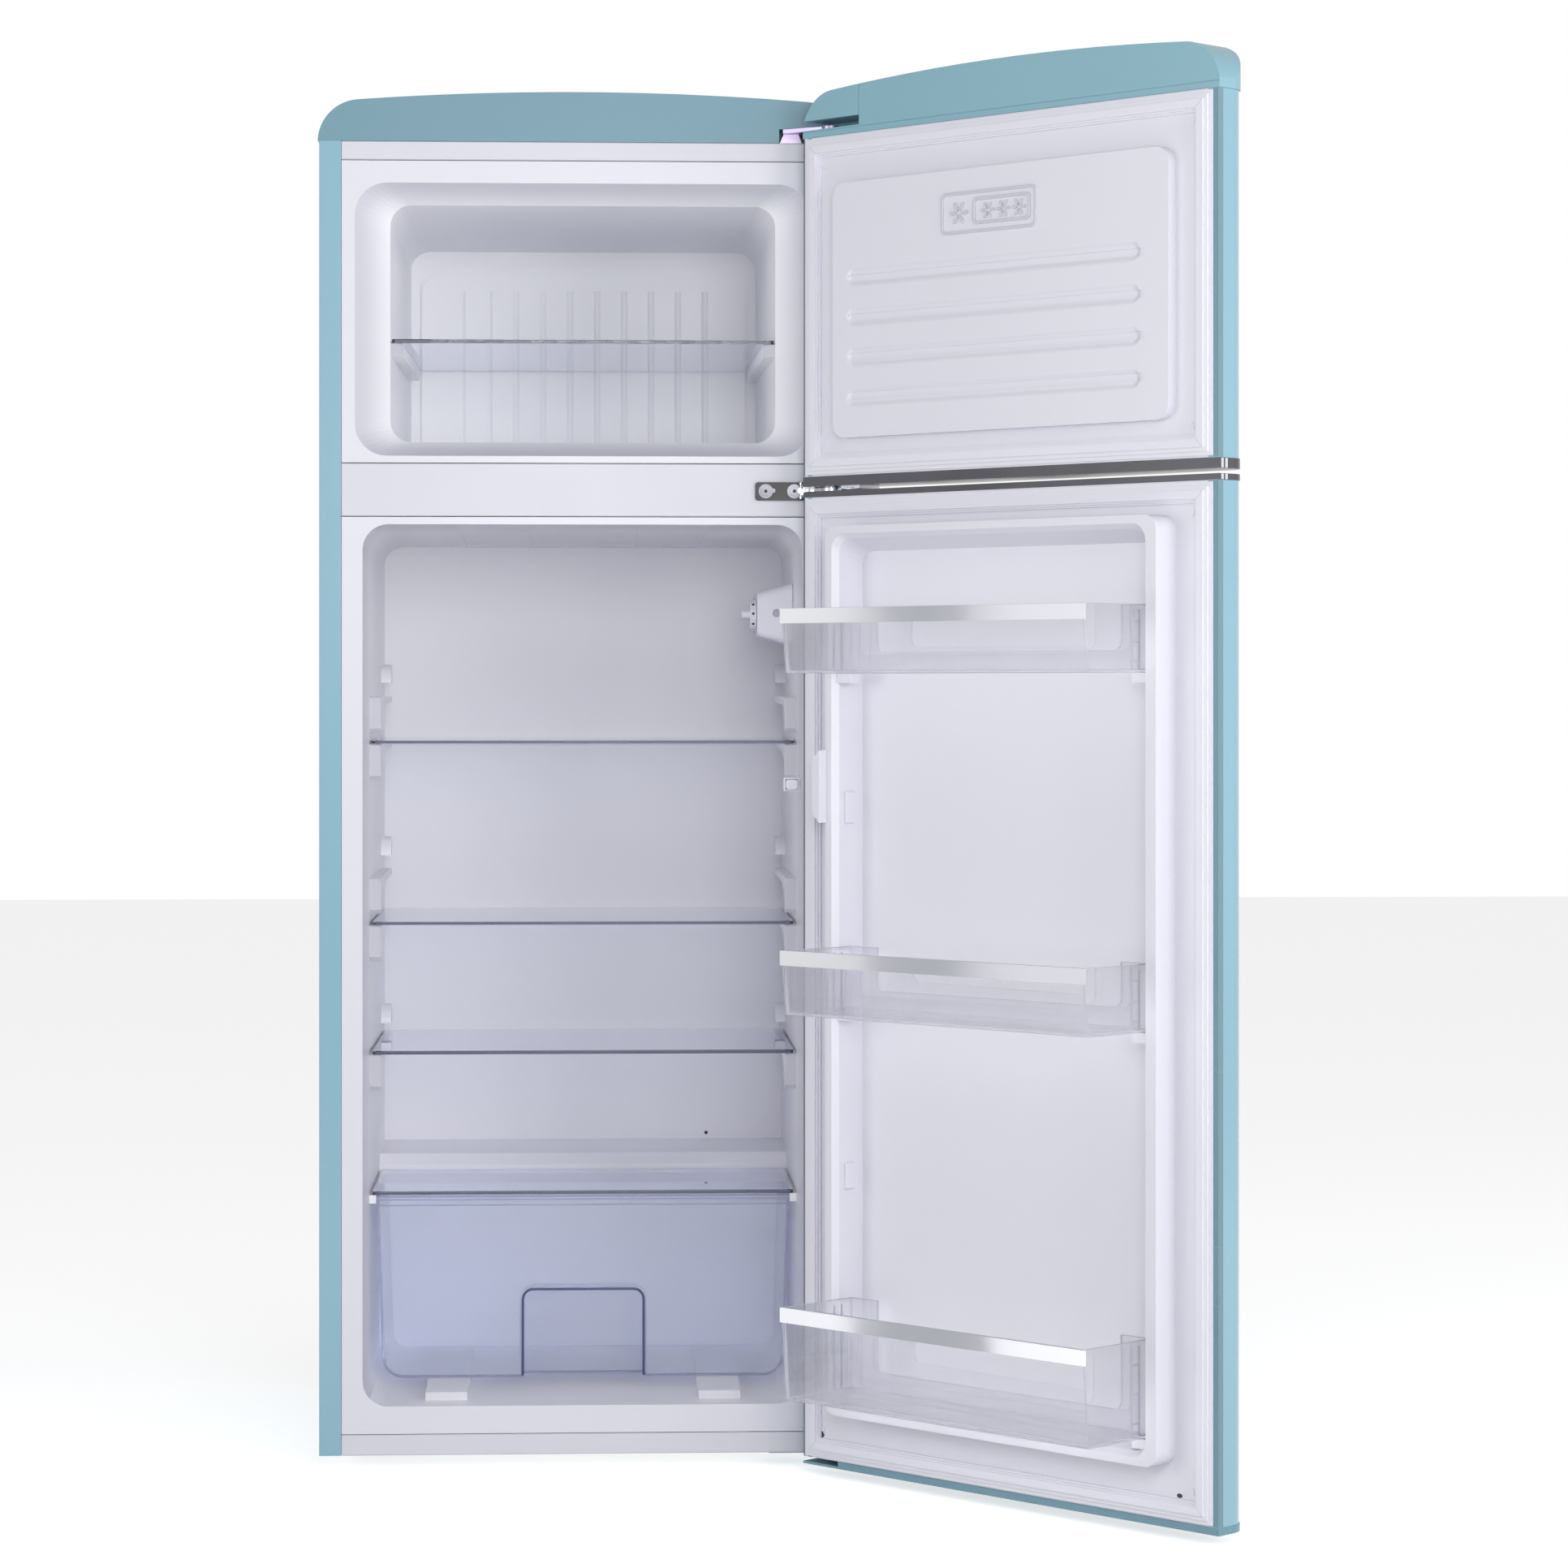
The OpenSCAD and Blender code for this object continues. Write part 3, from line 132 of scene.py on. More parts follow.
wn.links.new(world_mix.outputs[0], world_out.inputs["Surface"])
print("fill light", fill_strength)

# %% [markdown]
# The open compartments are deep, so most of the light comes from the front. A large key panel stands
# to the right with a weaker one beside it, another stands to the left, and a high one shines down from
# the front. A small panel between camera and object lifts the back walls; the camera can't see it.

# %% Lamps


def soft_panel(name, place, aim, size, power):
    """A rectangular lamp at a place, turned towards a point."""
    lamp = bpy.data.lights.new(name, "AREA")
    lamp.shape = "RECTANGLE"
    lamp.size, lamp.size_y = size
    lamp.energy = power
    panel = bpy.data.objects.new(name, lamp)
    panel.location = place
    panel.rotation_euler = (Vector(aim) - Vector(place)).to_track_quat("-Z", "Y").to_euler()
    bpy.context.scene.collection.objects.link(panel)
    return panel


soft_panel("key_panel", (2.75, -3.5, 1.2), (0.0, 0, 0.95), (2.0, 2.2), 66)
soft_panel("side_panel", (3.2, -1.4, 1.3), (0.4, -0.2, 0.8), (1.4, 2.2), 20)
soft_panel("left_panel", (-3.4, -2.2, 1.1), (0.1, -0.2, 0.9), (1.8, 2.0), 42)
soft_panel("high_panel", (0.3, -3.6, 2.6), (0.0, 0, 0.7), (2.2, 1.0), 17)
near_panel = soft_panel("near_panel", (0.2, -2.6, 1.15), (0.0, 0, 1.15), (0.9, 0.7), 14.5)
near_panel.visible_camera = False

# %% [markdown]
# Polished strips need something to mirror. One narrow grey card stands far to the left and another
# lies on the floor. Only reflections can see them, and they draw a soft grey streak across the bright
# strips of the door bins.

# %% Grey cards for reflections
card_width = 0.17
card_y = front_y - 0.31
card_finish = bpy.data.materials.new("grey_card")
card_finish.use_nodes = True
card_finish.node_tree.nodes["Principled BSDF"].inputs["Base Color"].default_value = (0.70, 0.70, 0.75, 1)


def grey_card(name, place, turn, length):
    """A grey plane that only mirrors can see."""
    bpy.ops.mesh.primitive_plane_add(size=1.0, location=place, rotation=(0, turn, 0))
    card = bpy.context.object
    card.name = name
    card.scale = (length, card_width, 1.0)
    card.data.materials.append(card_finish)
    card.visible_camera = False
    card.visible_diffuse = False
    card.visible_shadow = False
    card.visible_transmission = False
    print("card", name, "length", length)


grey_card("grey_card", (-2.5, card_y, 0.9), math.radians(90), 2.4)
grey_card("grey_card_low", (-1.45, card_y, 0.002), 0, 2.1)

# %% [markdown]
# Surfaces share a few effects. Real enamel is never perfectly flat, moulded plastic carries a faint
# grain, and steel has fine brush lines. Each effect is a node group that gives a plain number, such
# as a height, a roughness or a mask, and each material decides how much of it to use.

# %% Helpers that build a node group


def effect_group(name, inputs, outputs):
    """An empty shader node group with float inputs and outputs, and its two ends."""
    group = bpy.data.node_groups.new(name, "ShaderNodeTree")
    for label, value in inputs:
        socket = group.interface.new_socket(label, in_out="INPUT", socket_type="NodeSocketFloat")
        socket.default_value = value
    for label in outputs:
        group.interface.new_socket(label, in_out="OUTPUT", socket_type="NodeSocketFloat")
    start = group.nodes.new("NodeGroupInput")
    end = group.nodes.new("NodeGroupOutput")
    return group, start, end


def math_steps(group):
    """Gives a function that adds one arithmetic step to a group; its values are numbers or outputs."""
    def math_step(operation, *values):
        step = group.nodes.new("ShaderNodeMath")
        step.operation = operation
        for socket, value in zip(step.inputs, values):
            if isinstance(value, (int, float)):
                socket.default_value = value
            else:
                group.links.new(value, socket)
        return step.outputs[0]
    return math_step


# %% Shared effect: fine grain
grain_group, g_in, g_out = effect_group("fine_grain", [("Scale", 400.0), ("Softness", 0.5)], ["Height"])
g_coord = grain_group.nodes.new("ShaderNodeTexCoord")
g_noise = grain_group.nodes.new("ShaderNodeTexNoise")
g_noise.inputs["Detail"].default_value = 3.0
grain_group.links.new(g_coord.outputs["Object"], g_noise.inputs["Vector"])
grain_group.links.new(g_in.outputs["Scale"], g_noise.inputs["Scale"])
grain_group.links.new(g_in.outputs["Softness"], g_noise.inputs["Roughness"])
grain_group.links.new(g_noise.outputs["Fac"], g_out.inputs["Height"])

# %% Shared effect: uneven shine, as on handled and wiped surfaces
shine_group, s_in, s_out = effect_group(
    "uneven_shine", [("Scale", 6.0), ("Low", 0.2), ("High", 0.3)], ["Roughness"])
s_coord = shine_group.nodes.new("ShaderNodeTexCoord")
s_noise = shine_group.nodes.new("ShaderNodeTexNoise")
s_noise.inputs["Detail"].default_value = 4.0
s_map = shine_group.nodes.new("ShaderNodeMapRange")
shine_group.links.new(s_coord.outputs["Object"], s_noise.inputs["Vector"])
shine_group.links.new(s_in.outputs["Scale"], s_noise.inputs["Scale"])
shine_group.links.new(s_noise.outputs["Fac"], s_map.inputs["Value"])
s_map.inputs["From Min"].default_value = 0.3
s_map.inputs["From Max"].default_value = 0.7
shine_group.links.new(s_in.outputs["Low"], s_map.inputs["To Min"])
shine_group.links.new(s_in.outputs["High"], s_map.inputs["To Max"])
shine_group.links.new(s_map.outputs["Result"], s_out.inputs["Roughness"])

# %% Shared effect: brush lines in one direction
brush_group, b_in, b_out = effect_group("brush_lines", [("Density", 900.0), ("Along", 6.0)], ["Height"])
b_coord = brush_group.nodes.new("ShaderNodeTexCoord")
b_stretch = brush_group.nodes.new("ShaderNodeCombineXYZ")
b_scale = brush_group.nodes.new("ShaderNodeVectorMath")
b_scale.operation = "MULTIPLY"
b_noise = brush_group.nodes.new("ShaderNodeTexNoise")
b_noise.inputs["Scale"].default_value = 1.0
b_noise.inputs["Detail"].default_value = 2.0
brush_group.links.new(b_in.outputs["Along"], b_stretch.inputs["X"])
brush_group.links.new(b_in.outputs["Density"], b_stretch.inputs["Y"])
brush_group.links.new(b_in.outputs["Density"], b_stretch.inputs["Z"])
brush_group.links.new(b_coord.outputs["Object"], b_scale.inputs[0])
brush_group.links.new(b_stretch.outputs[0], b_scale.inputs[1])
brush_group.links.new(b_scale.outputs[0], b_noise.inputs["Vector"])
brush_group.links.new(b_noise.outputs["Fac"], b_out.inputs["Height"])
print("effects:", [g.name for g in bpy.data.node_groups])

# %% [markdown]
# Each finish is a Principled surface with its plain numbers on the shader itself. A helper places
# the shared effects: grain or brush lines feed a Bump node, uneven shine feeds the roughness.

# %% Finish helper


def finish(name, colour, rough=0.4, metal=0.0, bump=None, shine=None, **plain):
    """A Principled material; bump is (group, strength, inputs), shine is (low, high, scale)."""
    material = bpy.data.materials.new(name)
    material.use_nodes = True
    tree = material.node_tree
    surface = tree.nodes["Principled BSDF"]
    surface.inputs["Base Color"].default_value = (*colour, 1)
    surface.inputs["Roughness"].default_value = rough
    surface.inputs["Metallic"].default_value = metal
    for key, value in plain.items():
        surface.inputs[key.replace("_", " ")].default_value = value
    if bump:
        group, strength, values = bump
        source = tree.nodes.new("ShaderNodeGroup")
        source.node_tree = group
        for key, value in values.items():
            source.inputs[key].default_value = value
        relief = tree.nodes.new("ShaderNodeBump")
        relief.inputs["Strength"].default_value = strength
        relief.inputs["Distance"].default_value = 0.0005
        tree.links.new(source.outputs["Height"], relief.inputs["Height"])
        tree.links.new(relief.outputs["Normal"], surface.inputs["Normal"])
    if shine:
        source = tree.nodes.new("ShaderNodeGroup")
        source.node_tree = shine_group
        source.inputs["Low"].default_value = shine[0]
        source.inputs["High"].default_value = shine[1]
        source.inputs["Scale"].default_value = shine[2]
        tree.links.new(source.outputs["Roughness"], surface.inputs["Roughness"])
    return material


def srgb(r, g, b):
    """Display colour, 0 to 255, to the linear colour that a shader takes."""
    shares = (r / 255, g / 255, b / 255)
    return tuple(c / 12.92 if c <= 0.04045 else ((c + 0.055) / 1.055) ** 2.4 for c in shares)


print("a middle grey of 128 is", round(srgb(128, 128, 128)[0], 3), "in linear light")


# %% [markdown]
# The outside is turquoise enamel on steel: a strong, even colour under a clear gloss. The arched
# covers are moulded plastic, a touch softer in their shine. The door's cover has nearly the enamel's
# colour. The cabinet's cover is the same plastic, toned darker as painted shade, to come out right
# in these lamps.

# %% Outside finishes
enamel = finish("turquoise_enamel", srgb(129, 171, 188), bump=(grain_group, 0.04, {"Scale": 90.0}),
                shine=(0.16, 0.22, 4.0), Coat_Weight=0.6, Coat_Roughness=0.06)
# The cabinet's cover: the door cover's plastic in a darker tone, painted shade.
cover_finish = finish("turquoise_cover_painted_shade", srgb(104, 142, 157), bump=(grain_group, 0.06, {"Scale": 140.0}),
                      shine=(0.28, 0.36, 5.0))
door_cover_finish = finish("turquoise_door_cover", srgb(131, 173, 187),
                           bump=(grain_group, 0.06, {"Scale": 140.0}), shine=(0.28, 0.36, 5.0))
chrome = finish("chrome", (0.80, 0.81, 0.84), metal=1.0, shine=(0.06, 0.12, 9.0))
dark_chrome = finish("dark_chrome", (0.11, 0.11, 0.12), metal=1.0, shine=(0.18, 0.26, 9.0))
zinc = finish("zinc_steel", (0.60, 0.61, 0.66), metal=1.0, bump=(brush_group, 0.15, {}),
              shine=(0.28, 0.38, 30.0))
galvanised = finish("galvanised_sheet", (0.50, 0.52, 0.54), metal=1.0, bump=(brush_group, 0.10, {}),
                    shine=(0.35, 0.5, 18.0))
black_steel = finish("black_steel", (0.012, 0.012, 0.014), bump=(grain_group, 0.15, {"Scale": 300.0}),
                     shine=(0.35, 0.5, 12.0))
dark_plastic = finish("dark_plastic", (0.02, 0.02, 0.023), bump=(grain_group, 0.2, {"Scale": 500.0}),
                      shine=(0.5, 0.6, 20.0))
black_rubber = finish("black_rubber", (0.018, 0.018, 0.02), bump=(grain_group, 0.3, {"Scale": 700.0}),
                      shine=(0.7, 0.8, 20.0))
print("outside finishes:", len(bpy.data.materials))

# %% [markdown]
# Inside, nearly everything is white plastic with a cool tint. The liners are drawn from one sheet,
# so they are smooth and slightly glossy; the lamp housing is moulded with a fine grain; the gasket
# is soft rubber.

# %% Inside finishes
smooth_sheet = {"bump": (grain_group, 0.03, {"Scale": 60.0}), "shine": (0.30, 0.38, 5.0)}
liner_white = finish("liner_white", srgb(247, 247, 253), **smooth_sheet)
door_liner_white = finish("door_liner_white", srgb(217, 217, 226), **smooth_sheet)
rail_white = finish("rail_white", srgb(205, 205, 214), bump=(grain_group, 0.06, {"Scale": 300.0}),
                    shine=(0.38, 0.46, 8.0))
lamp_white = finish("lamp_white", srgb(230, 230, 239), bump=(grain_group, 0.2, {"Scale": 900.0}),
                    shine=(0.45, 0.55, 12.0))
fridge_white = finish("fridge_white", srgb(238, 238, 246), **smooth_sheet)
gasket_white = finish("gasket_white", srgb(222, 222, 231), bump=(grain_group, 0.1, {"Scale": 500.0}),
                      shine=(0.55, 0.65, 14.0))
gasket_shade = finish("gasket_shade", srgb(176, 180, 192), rough=0.7,
                      bump=(grain_group, 0.1, {"Scale": 500.0}))
foam_finish = finish("rigid_foam", srgb(222, 208, 150), rough=0.9, bump=(grain_group, 0.8, {"Scale": 600.0}))
lens_finish = finish("lamp_lens", srgb(236, 238, 244), rough=0.35, Transmission_Weight=0.5, IOR=1.45)
print("finishes so far:", len(bpy.data.materials))

# %% [markdown]
# A real liner is one white all over. These lamps reach its front flange far better than the walls
# behind it, so a single white would come out too bright in front and too dark inside. This is a
# correction for the light, not a property of the plastic: the colour grows paler with depth, and the
# fronts of the shelf supports, which face the lamps, are toned down. A group finds those fronts, and
# the floor, from where a face lies and which way it looks. Under other light, use one white instead.

# %% Shared effect: which faces are the fronts of the supports on a liner's side walls
front_group, f_in, f_out = effect_group(
    "support_fronts", [("Side", 0.2), ("Low", 0.3), ("Near", 0.0), ("Far", 0.1)], ["Mask", "Floor"])
f_step = math_steps(front_group)
facing_limit = 0.7
f_place = front_group.nodes.new("ShaderNodeSeparateXYZ")
f_facing = front_group.nodes.new("ShaderNodeSeparateXYZ")
f_coord = front_group.nodes.new("ShaderNodeTexCoord")
front_group.links.new(f_coord.outputs["Object"], f_place.inputs[0])
front_group.links.new(f_coord.outputs["Normal"], f_facing.inputs[0])
mask = f_step("GREATER_THAN", f_step("ABSOLUTE", f_place.outputs["X"]), f_in.outputs["Side"])
for test in (f_step("GREATER_THAN", f_place.outputs["Z"], f_in.outputs["Low"]),
             f_step("GREATER_THAN", f_place.outputs["Y"], f_in.outputs["Near"]),
             f_step("LESS_THAN", f_place.outputs["Y"], f_in.outputs["Far"]),
             f_step("LESS_THAN", f_facing.outputs["Y"], -facing_limit)):
    mask = f_step("MULTIPLY", mask, test)
front_group.links.new(mask, f_out.inputs["Mask"])
floor_mask = f_step("MULTIPLY", f_step("GREATER_THAN", f_facing.outputs["Z"], facing_limit),
                    f_step("LESS_THAN", f_place.outputs["Z"], f_in.outputs["Low"]))
front_group.links.new(floor_mask, f_out.inputs["Floor"])

# %% Liner colour by depth
flange_white = srgb(213, 213, 222)
support_white = srgb(194, 194, 204)


def pale_inside(material, inside, reach, shelf, side):
    """Evens out the light on a liner: greyer on flange and support fronts, paler with depth."""
    tree = material.node_tree
    coord = tree.nodes.new("ShaderNodeTexCoord")
    part = tree.nodes.new("ShaderNodeSeparateXYZ")
    depth = tree.nodes.new("ShaderNodeMapRange")
    depth.interpolation_type = "SMOOTHSTEP"
    depth.inputs["From Min"].default_value = front_y + 0.002
    depth.inputs["From Max"].default_value = front_y + reach
    blend = tree.nodes.new("ShaderNodeMix")
    blend.data_type = "RGBA"
    blend.inputs["A"].default_value = (*flange_white, 1)
    blend.inputs["B"].default_value = (*inside, 1)
    shelf_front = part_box(shelf)[0].y
    supports = tree.nodes.new("ShaderNodeGroup")
    supports.node_tree = front_group
    supports.inputs["Side"].default_value = side
    supports.inputs["Low"].default_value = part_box("drawer_cover")[1].z + 0.1
    supports.inputs["Near"].default_value = max(front_y + 0.012, shelf_front - 0.06)
    supports.inputs["Far"].default_value = shelf_front + 0.12
    lift = tree.nodes.new("ShaderNodeMath")
    lift.operation = "MAXIMUM"
    shade = tree.nodes.new("ShaderNodeMix")
    shade.data_type = "RGBA"
    shade.inputs["B"].default_value = (*support_white, 1)
    tree.links.new(coord.outputs["Object"], part.inputs[0])
    tree.links.new(part.outputs["Y"], depth.inputs["Value"])
    tree.links.new(depth.outputs["Result"], lift.inputs[0])
    tree.links.new(supports.outputs["Floor"], lift.inputs[1])
    tree.links.new(lift.outputs[0], blend.inputs["Factor"])
    tree.links.new(supports.outputs["Mask"], shade.inputs["Factor"])
    tree.links.new(blend.outputs["Result"], shade.inputs["A"])
    tree.links.new(shade.outputs["Result"], tree.nodes["Principled BSDF"].inputs["Base Color"])
    print(material.name, "turns pale within", reach, "m")


pale_inside(liner_white, srgb(252, 252, 255), 0.06, "freezer_shelf", 0.16)
pale_inside(fridge_white, srgb(239, 238, 243), 0.18, "shelf_1", 0.205)

# %% [markdown]
# Clear parts are of two kinds. Shelves are real glass, which bends the view more. Drawer and bins are
# thin clear plastic, given a lower bend than real plastic has; the drawer is tinted, so it lies like a
# pale lilac veil in front of the white walls. Lamplight passes all of them straight and only tinted.
# That is a shortcut: without it, what stands behind would sink in shadow.

# %% Clear finishes
shelf_glass = finish("shelf_glass", (0.83, 0.86, 1.0), rough=0.02, Transmission_Weight=1.0, IOR=1.45)
clear_plastic = finish("clear_plastic", (0.86, 0.86, 0.87), rough=0.04, Transmission_Weight=1.0, IOR=1.2)
tinted_plastic = finish("tinted_plastic", (0.85, 0.862, 0.895), rough=0.05, Transmission_Weight=0.88, IOR=1.2)


def let_light_through(material, veil, thin=0.0):
    """Lamplight passes a clear part and is only tinted; thin adds a share of plain see-through, as
    a very thin wall hardly bends what lies behind it."""
    tree = material.node_tree
    path = tree.nodes.new("ShaderNodeLightPath")
    passing = tree.nodes.new("ShaderNodeBsdfTransparent")
    passing.inputs["Color"].default_value = (*veil, 1)
    mix = tree.nodes.new("ShaderNodeMixShader")
    share = tree.nodes.new("ShaderNodeMath")
    share.operation = "MAXIMUM"
    share.inputs[1].default_value = thin
    tree.links.new(path.outputs["Is Shadow Ray"], share.inputs[0])
    tree.links.new(share.outputs[0], mix.inputs["Fac"])
    tree.links.new(tree.nodes["Principled BSDF"].outputs[0], mix.inputs[1])
    tree.links.new(passing.outputs[0], mix.inputs[2])
    tree.links.new(mix.outputs[0], tree.nodes["Material Output"].inputs["Surface"])


let_light_through(shelf_glass, (0.93, 0.945, 0.97))
let_light_through(clear_plastic, (0.94, 0.94, 0.945), 0.4)
let_light_through(tinted_plastic, (0.88, 0.90, 0.97), 0.15)
print("clear finishes: 3")

# %% [markdown]
# A few small surfaces need finishes of their own: the ground edges of the glass and the thick folds
# of the clear parts are painted dark, painted shade for the darkness light leaves along clear walls;
# plated hinge steel has a violet cast, and the screws are dull. A pale matt finish is for strips that
# hide the bright line a clear back edge would show.

# %% Finishes of small surfaces
# Dark grey for the ground edges of the glass: painted shade.
glass_edge = finish("glass_edge", srgb(84, 88, 102), rough=0.3)
# Dark and pale lines for the folds of clear parts: painted shade.
dark_fold_shade = finish("plastic_fold_dark", srgb(66, 70, 112), rough=0.25)
soft_fold_shade = finish("plastic_fold_soft", srgb(150, 155, 192), rough=0.3)
clear_fold_shade = finish("clear_fold_shade", srgb(178, 178, 190), rough=0.35)
plated_steel = finish("plated_steel", (0.36, 0.31, 0.42), metal=1.0, shine=(0.30, 0.40, 30.0))
screw_metal = finish("screw_metal", (0.22, 0.22, 0.24), metal=1.0, shine=(0.40, 0.5, 40.0))
sign_white = finish("sign_white", srgb(196, 196, 207), shine=(0.30, 0.38, 5.0))
back_edge = finish("back_edge", srgb(205, 209, 230), rough=0.5)
# Darker turquoise for the door's free edge: painted shade.
hem_painted_shade = finish("turquoise_hem_painted_shade", srgb(104, 138, 150), shine=(0.25, 0.32, 5.0))
seam_shadow = finish("seam_shadow", srgb(62, 64, 74), rough=0.8)
print("finishes:", len(bpy.data.materials))

# %% [markdown]
# The freezer door's panel is drawn with four shallow channels that stiffen it. The CAD part has them
# as narrow grooves; their wide, soft shoulders come from a bump. The distance to the middle line of
# the nearest channel is worked out from the place on the door, and a smooth step turns it into depth.

# %% Shared effect: soft channels along the door
channel_group, c_in, c_out = effect_group(
    "soft_channels", [("First Height", 1.115), ("Pitch", 0.041), ("Start", 0.082), ("End", 0.453),
                      ("Reach", 0.011)], ["Height"])
cn, cl = channel_group.nodes, channel_group.links
last_channel = 3.0
c_step = math_steps(channel_group)
c_coord = cn.new("ShaderNodeTexCoord")
c_part = cn.new("ShaderNodeSeparateXYZ")
cl.new(c_coord.outputs["Object"], c_part.inputs[0])
along_door = swing().to_3x3() @ Vector((-1, 0, 0))
hinge_edge = swing() @ Vector((half_width, front_y, 0))
along = c_step("ADD", c_step("MULTIPLY", c_part.outputs["X"], along_door.x),
               c_step("MULTIPLY", c_part.outputs["Y"], along_door.y))
along = c_step("SUBTRACT", along, along_door.x * hinge_edge.x + along_door.y * hinge_edge.y)
over = c_step("MAXIMUM", c_step("SUBTRACT", along, c_in.outputs["End"]),
              c_step("SUBTRACT", c_in.outputs["Start"], along))
over = c_step("MAXIMUM", over, 0.0)
rise = c_step("SUBTRACT", c_part.outputs["Z"], c_in.outputs["First Height"])
line = c_step("ROUND", c_step("DIVIDE", rise, c_in.outputs["Pitch"]))
line = c_step("MINIMUM", c_step("MAXIMUM", line, 0.0), last_channel)
aside = c_step("SUBTRACT", rise, c_step("MULTIPLY", line, c_in.outputs["Pitch"]))
apart = c_step("SQRT", c_step("ADD", c_step("MULTIPLY", aside, aside), c_step("MULTIPLY", over, over)))
edge = cn.new("ShaderNodeMapRange")
edge.interpolation_type = "SMOOTHERSTEP"
cl.new(c_step("DIVIDE", apart, c_in.outputs["Reach"]), edge.inputs["Value"])
edge.inputs["From Min"].default_value = 0.35
edge.inputs["From Max"].default_value = 1.0
cl.new(edge.outputs["Result"], c_out.inputs["Height"])
freezer_panel_white = finish("freezer_panel_white", srgb(218, 218, 227), bump=(channel_group, 0.65, {}),
                             shine=(0.30, 0.38, 5.0))
freezer_panel_white.node_tree.nodes["Bump"].inputs["Distance"].default_value = 0.0022
print("channels drawn into", freezer_panel_white.name)

# %% [markdown]
# Every CAD part names a slot for its finish, so most parts are dressed in one loop. A few parts look
# different from others in the same slot and are dressed by name afterwards.


# %% Which part takes which finish
finish_of_slot = {
    "shell_paint": enamel, "cover_plastic": cover_finish, "rail_plastic": rail_white,
    "liner_plastic": liner_white, "lamp_plastic": lamp_white, "clear_plastic": clear_plastic,
    "tinted_plastic": tinted_plastic, "lens_plastic": lens_finish, "shelf_glass": shelf_glass,
    "chrome": chrome, "dark_chrome": dark_chrome, "hinge_steel": zinc, "black_steel": black_steel,
    "galvanised": galvanised, "gasket_rubber": gasket_white, "black_rubber": black_rubber,
    "dark_plastic": dark_plastic, "foam": foam_finish,
}
slot_of_node = {s["node"]: s["material_slot"] for s in record["subparts"]}
body_of_node = {n: body for body, nodes in record["behaviour"]["bodies"].items() for n in nodes}


def dress(node, material):
    """Gives a CAD part its finish."""
    slots = frame["nodes"][node].data.materials
    slots.clear()
    slots.append(material)


for node, slot_name in slot_of_node.items():
    dress(node, finish_of_slot[slot_name])
own_finish = {
    "top_hinge": plated_steel, "middle_hinge_screws": screw_metal, "bottom_hinge": enamel,
    "freezer_door_liner": freezer_panel_white, "fridge_door_liner": door_liner_white,
    "fridge_liner": fridge_white, "freezer_door_cap": door_cover_finish,
    "freezer_hinge_cover": door_cover_finish,
}
for node, material in own_finish.items():
    dress(node, material)
print("dressed", len(slot_of_node), "parts")

# %% [markdown]
# Sharp computer edges give a model away. A bevel modifier rounds them by half a millimetre to two
# millimetres without touching the part's own points.

# %% Rounded edges


def soften(part, radius, segments):
    """Rounds a part's sharp edges by a radius in millimetres."""
    bevel = part.modifiers.new("soft_edges", "BEVEL")
    bevel.width = radius / 1000
    bevel.segments = segments
    bevel.limit_method = "ANGLE"
    bevel.angle_limit = math.radians(40)
    return bevel


edge_radius = {
    "top_rail": 1.2, "middle_rail": 1.2, "bottom_rail": 1.2, "freezer_door_trim": 1.0,
    "fridge_door_trim": 1.0, "crisper_drawer": 0.8, "bin_1": 0.8, "bin_2": 0.8, "bin_3": 0.8,
    "bin_1_strip": 0.5, "bin_2_strip": 0.5, "bin_3_strip": 0.5, "lamp_housing": 1.0, "top_hinge": 0.6,
    "middle_hinge_arm": 0.6, "fridge_door_liner": 2.0, "freezer_door_liner": 1.5,
    "thermostat_knob": 0.5, "freezer_door_gasket": 0.6, "fridge_door_gasket": 0.6,
    "fridge_door_base": 1.0, "middle_hinge_plate": 0.5, "switch_plunger": 0.5, "switch_body": 0.5,
    "fridge_liner": 2.0, "freezer_liner": 2.0,
}
for node, radius in edge_radius.items():
    soften(frame["nodes"][node], radius, 2).harden_normals = True
print("rounded", len(edge_radius), "parts")

# %% [markdown]
# Small pieces are built point by point and join the body that carries them. Their places are given
# in millimetres from the cabinet's front plane, with the doors closed, as a fitter would measure
# them. A piece on a door is then swung open with it.

# %% Helpers for small pieces
half_mm = half_width * 1000


def millimetres(node):
    """A node's box as (x, y, z) lows and highs in millimetres, with y from the front plane."""
    return [Vector((c.x * 1000, (c.y - front_y) * 1000, c.z * 1000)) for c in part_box(node)]


def to_frame(x, y, z):
    """A place in millimetres from the front plane, as a point of the frame."""
    return Vector((x / 1000, front_y + y / 1000, z / 1000))


def join(name, shape, body):
    """Makes a mesh or curve into a piece that rides on a body."""
    piece = bpy.data.objects.new(name, shape)
    bpy.context.scene.collection.objects.link(piece)
    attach(piece, body)
    print("piece", name, "on", body)
    return piece


def settle(name, form, material, body, on_door=False, soft=0.0):
    """Turns a bmesh in millimetres into a piece that rides on a body."""
    bmesh.ops.recalc_face_normals(form, faces=form.faces)
    form.transform(Matrix.Translation((0, front_y, 0)) @ Matrix.Scale(0.001, 4))
    if on_door:
        form.transform(swing())
    mesh = bpy.data.meshes.new(name)
    form.to_mesh(mesh)
    form.free()
    mesh.materials.append(material)
    piece = join(name, mesh, body)
    if soft:
        soften(piece, soft, 3)


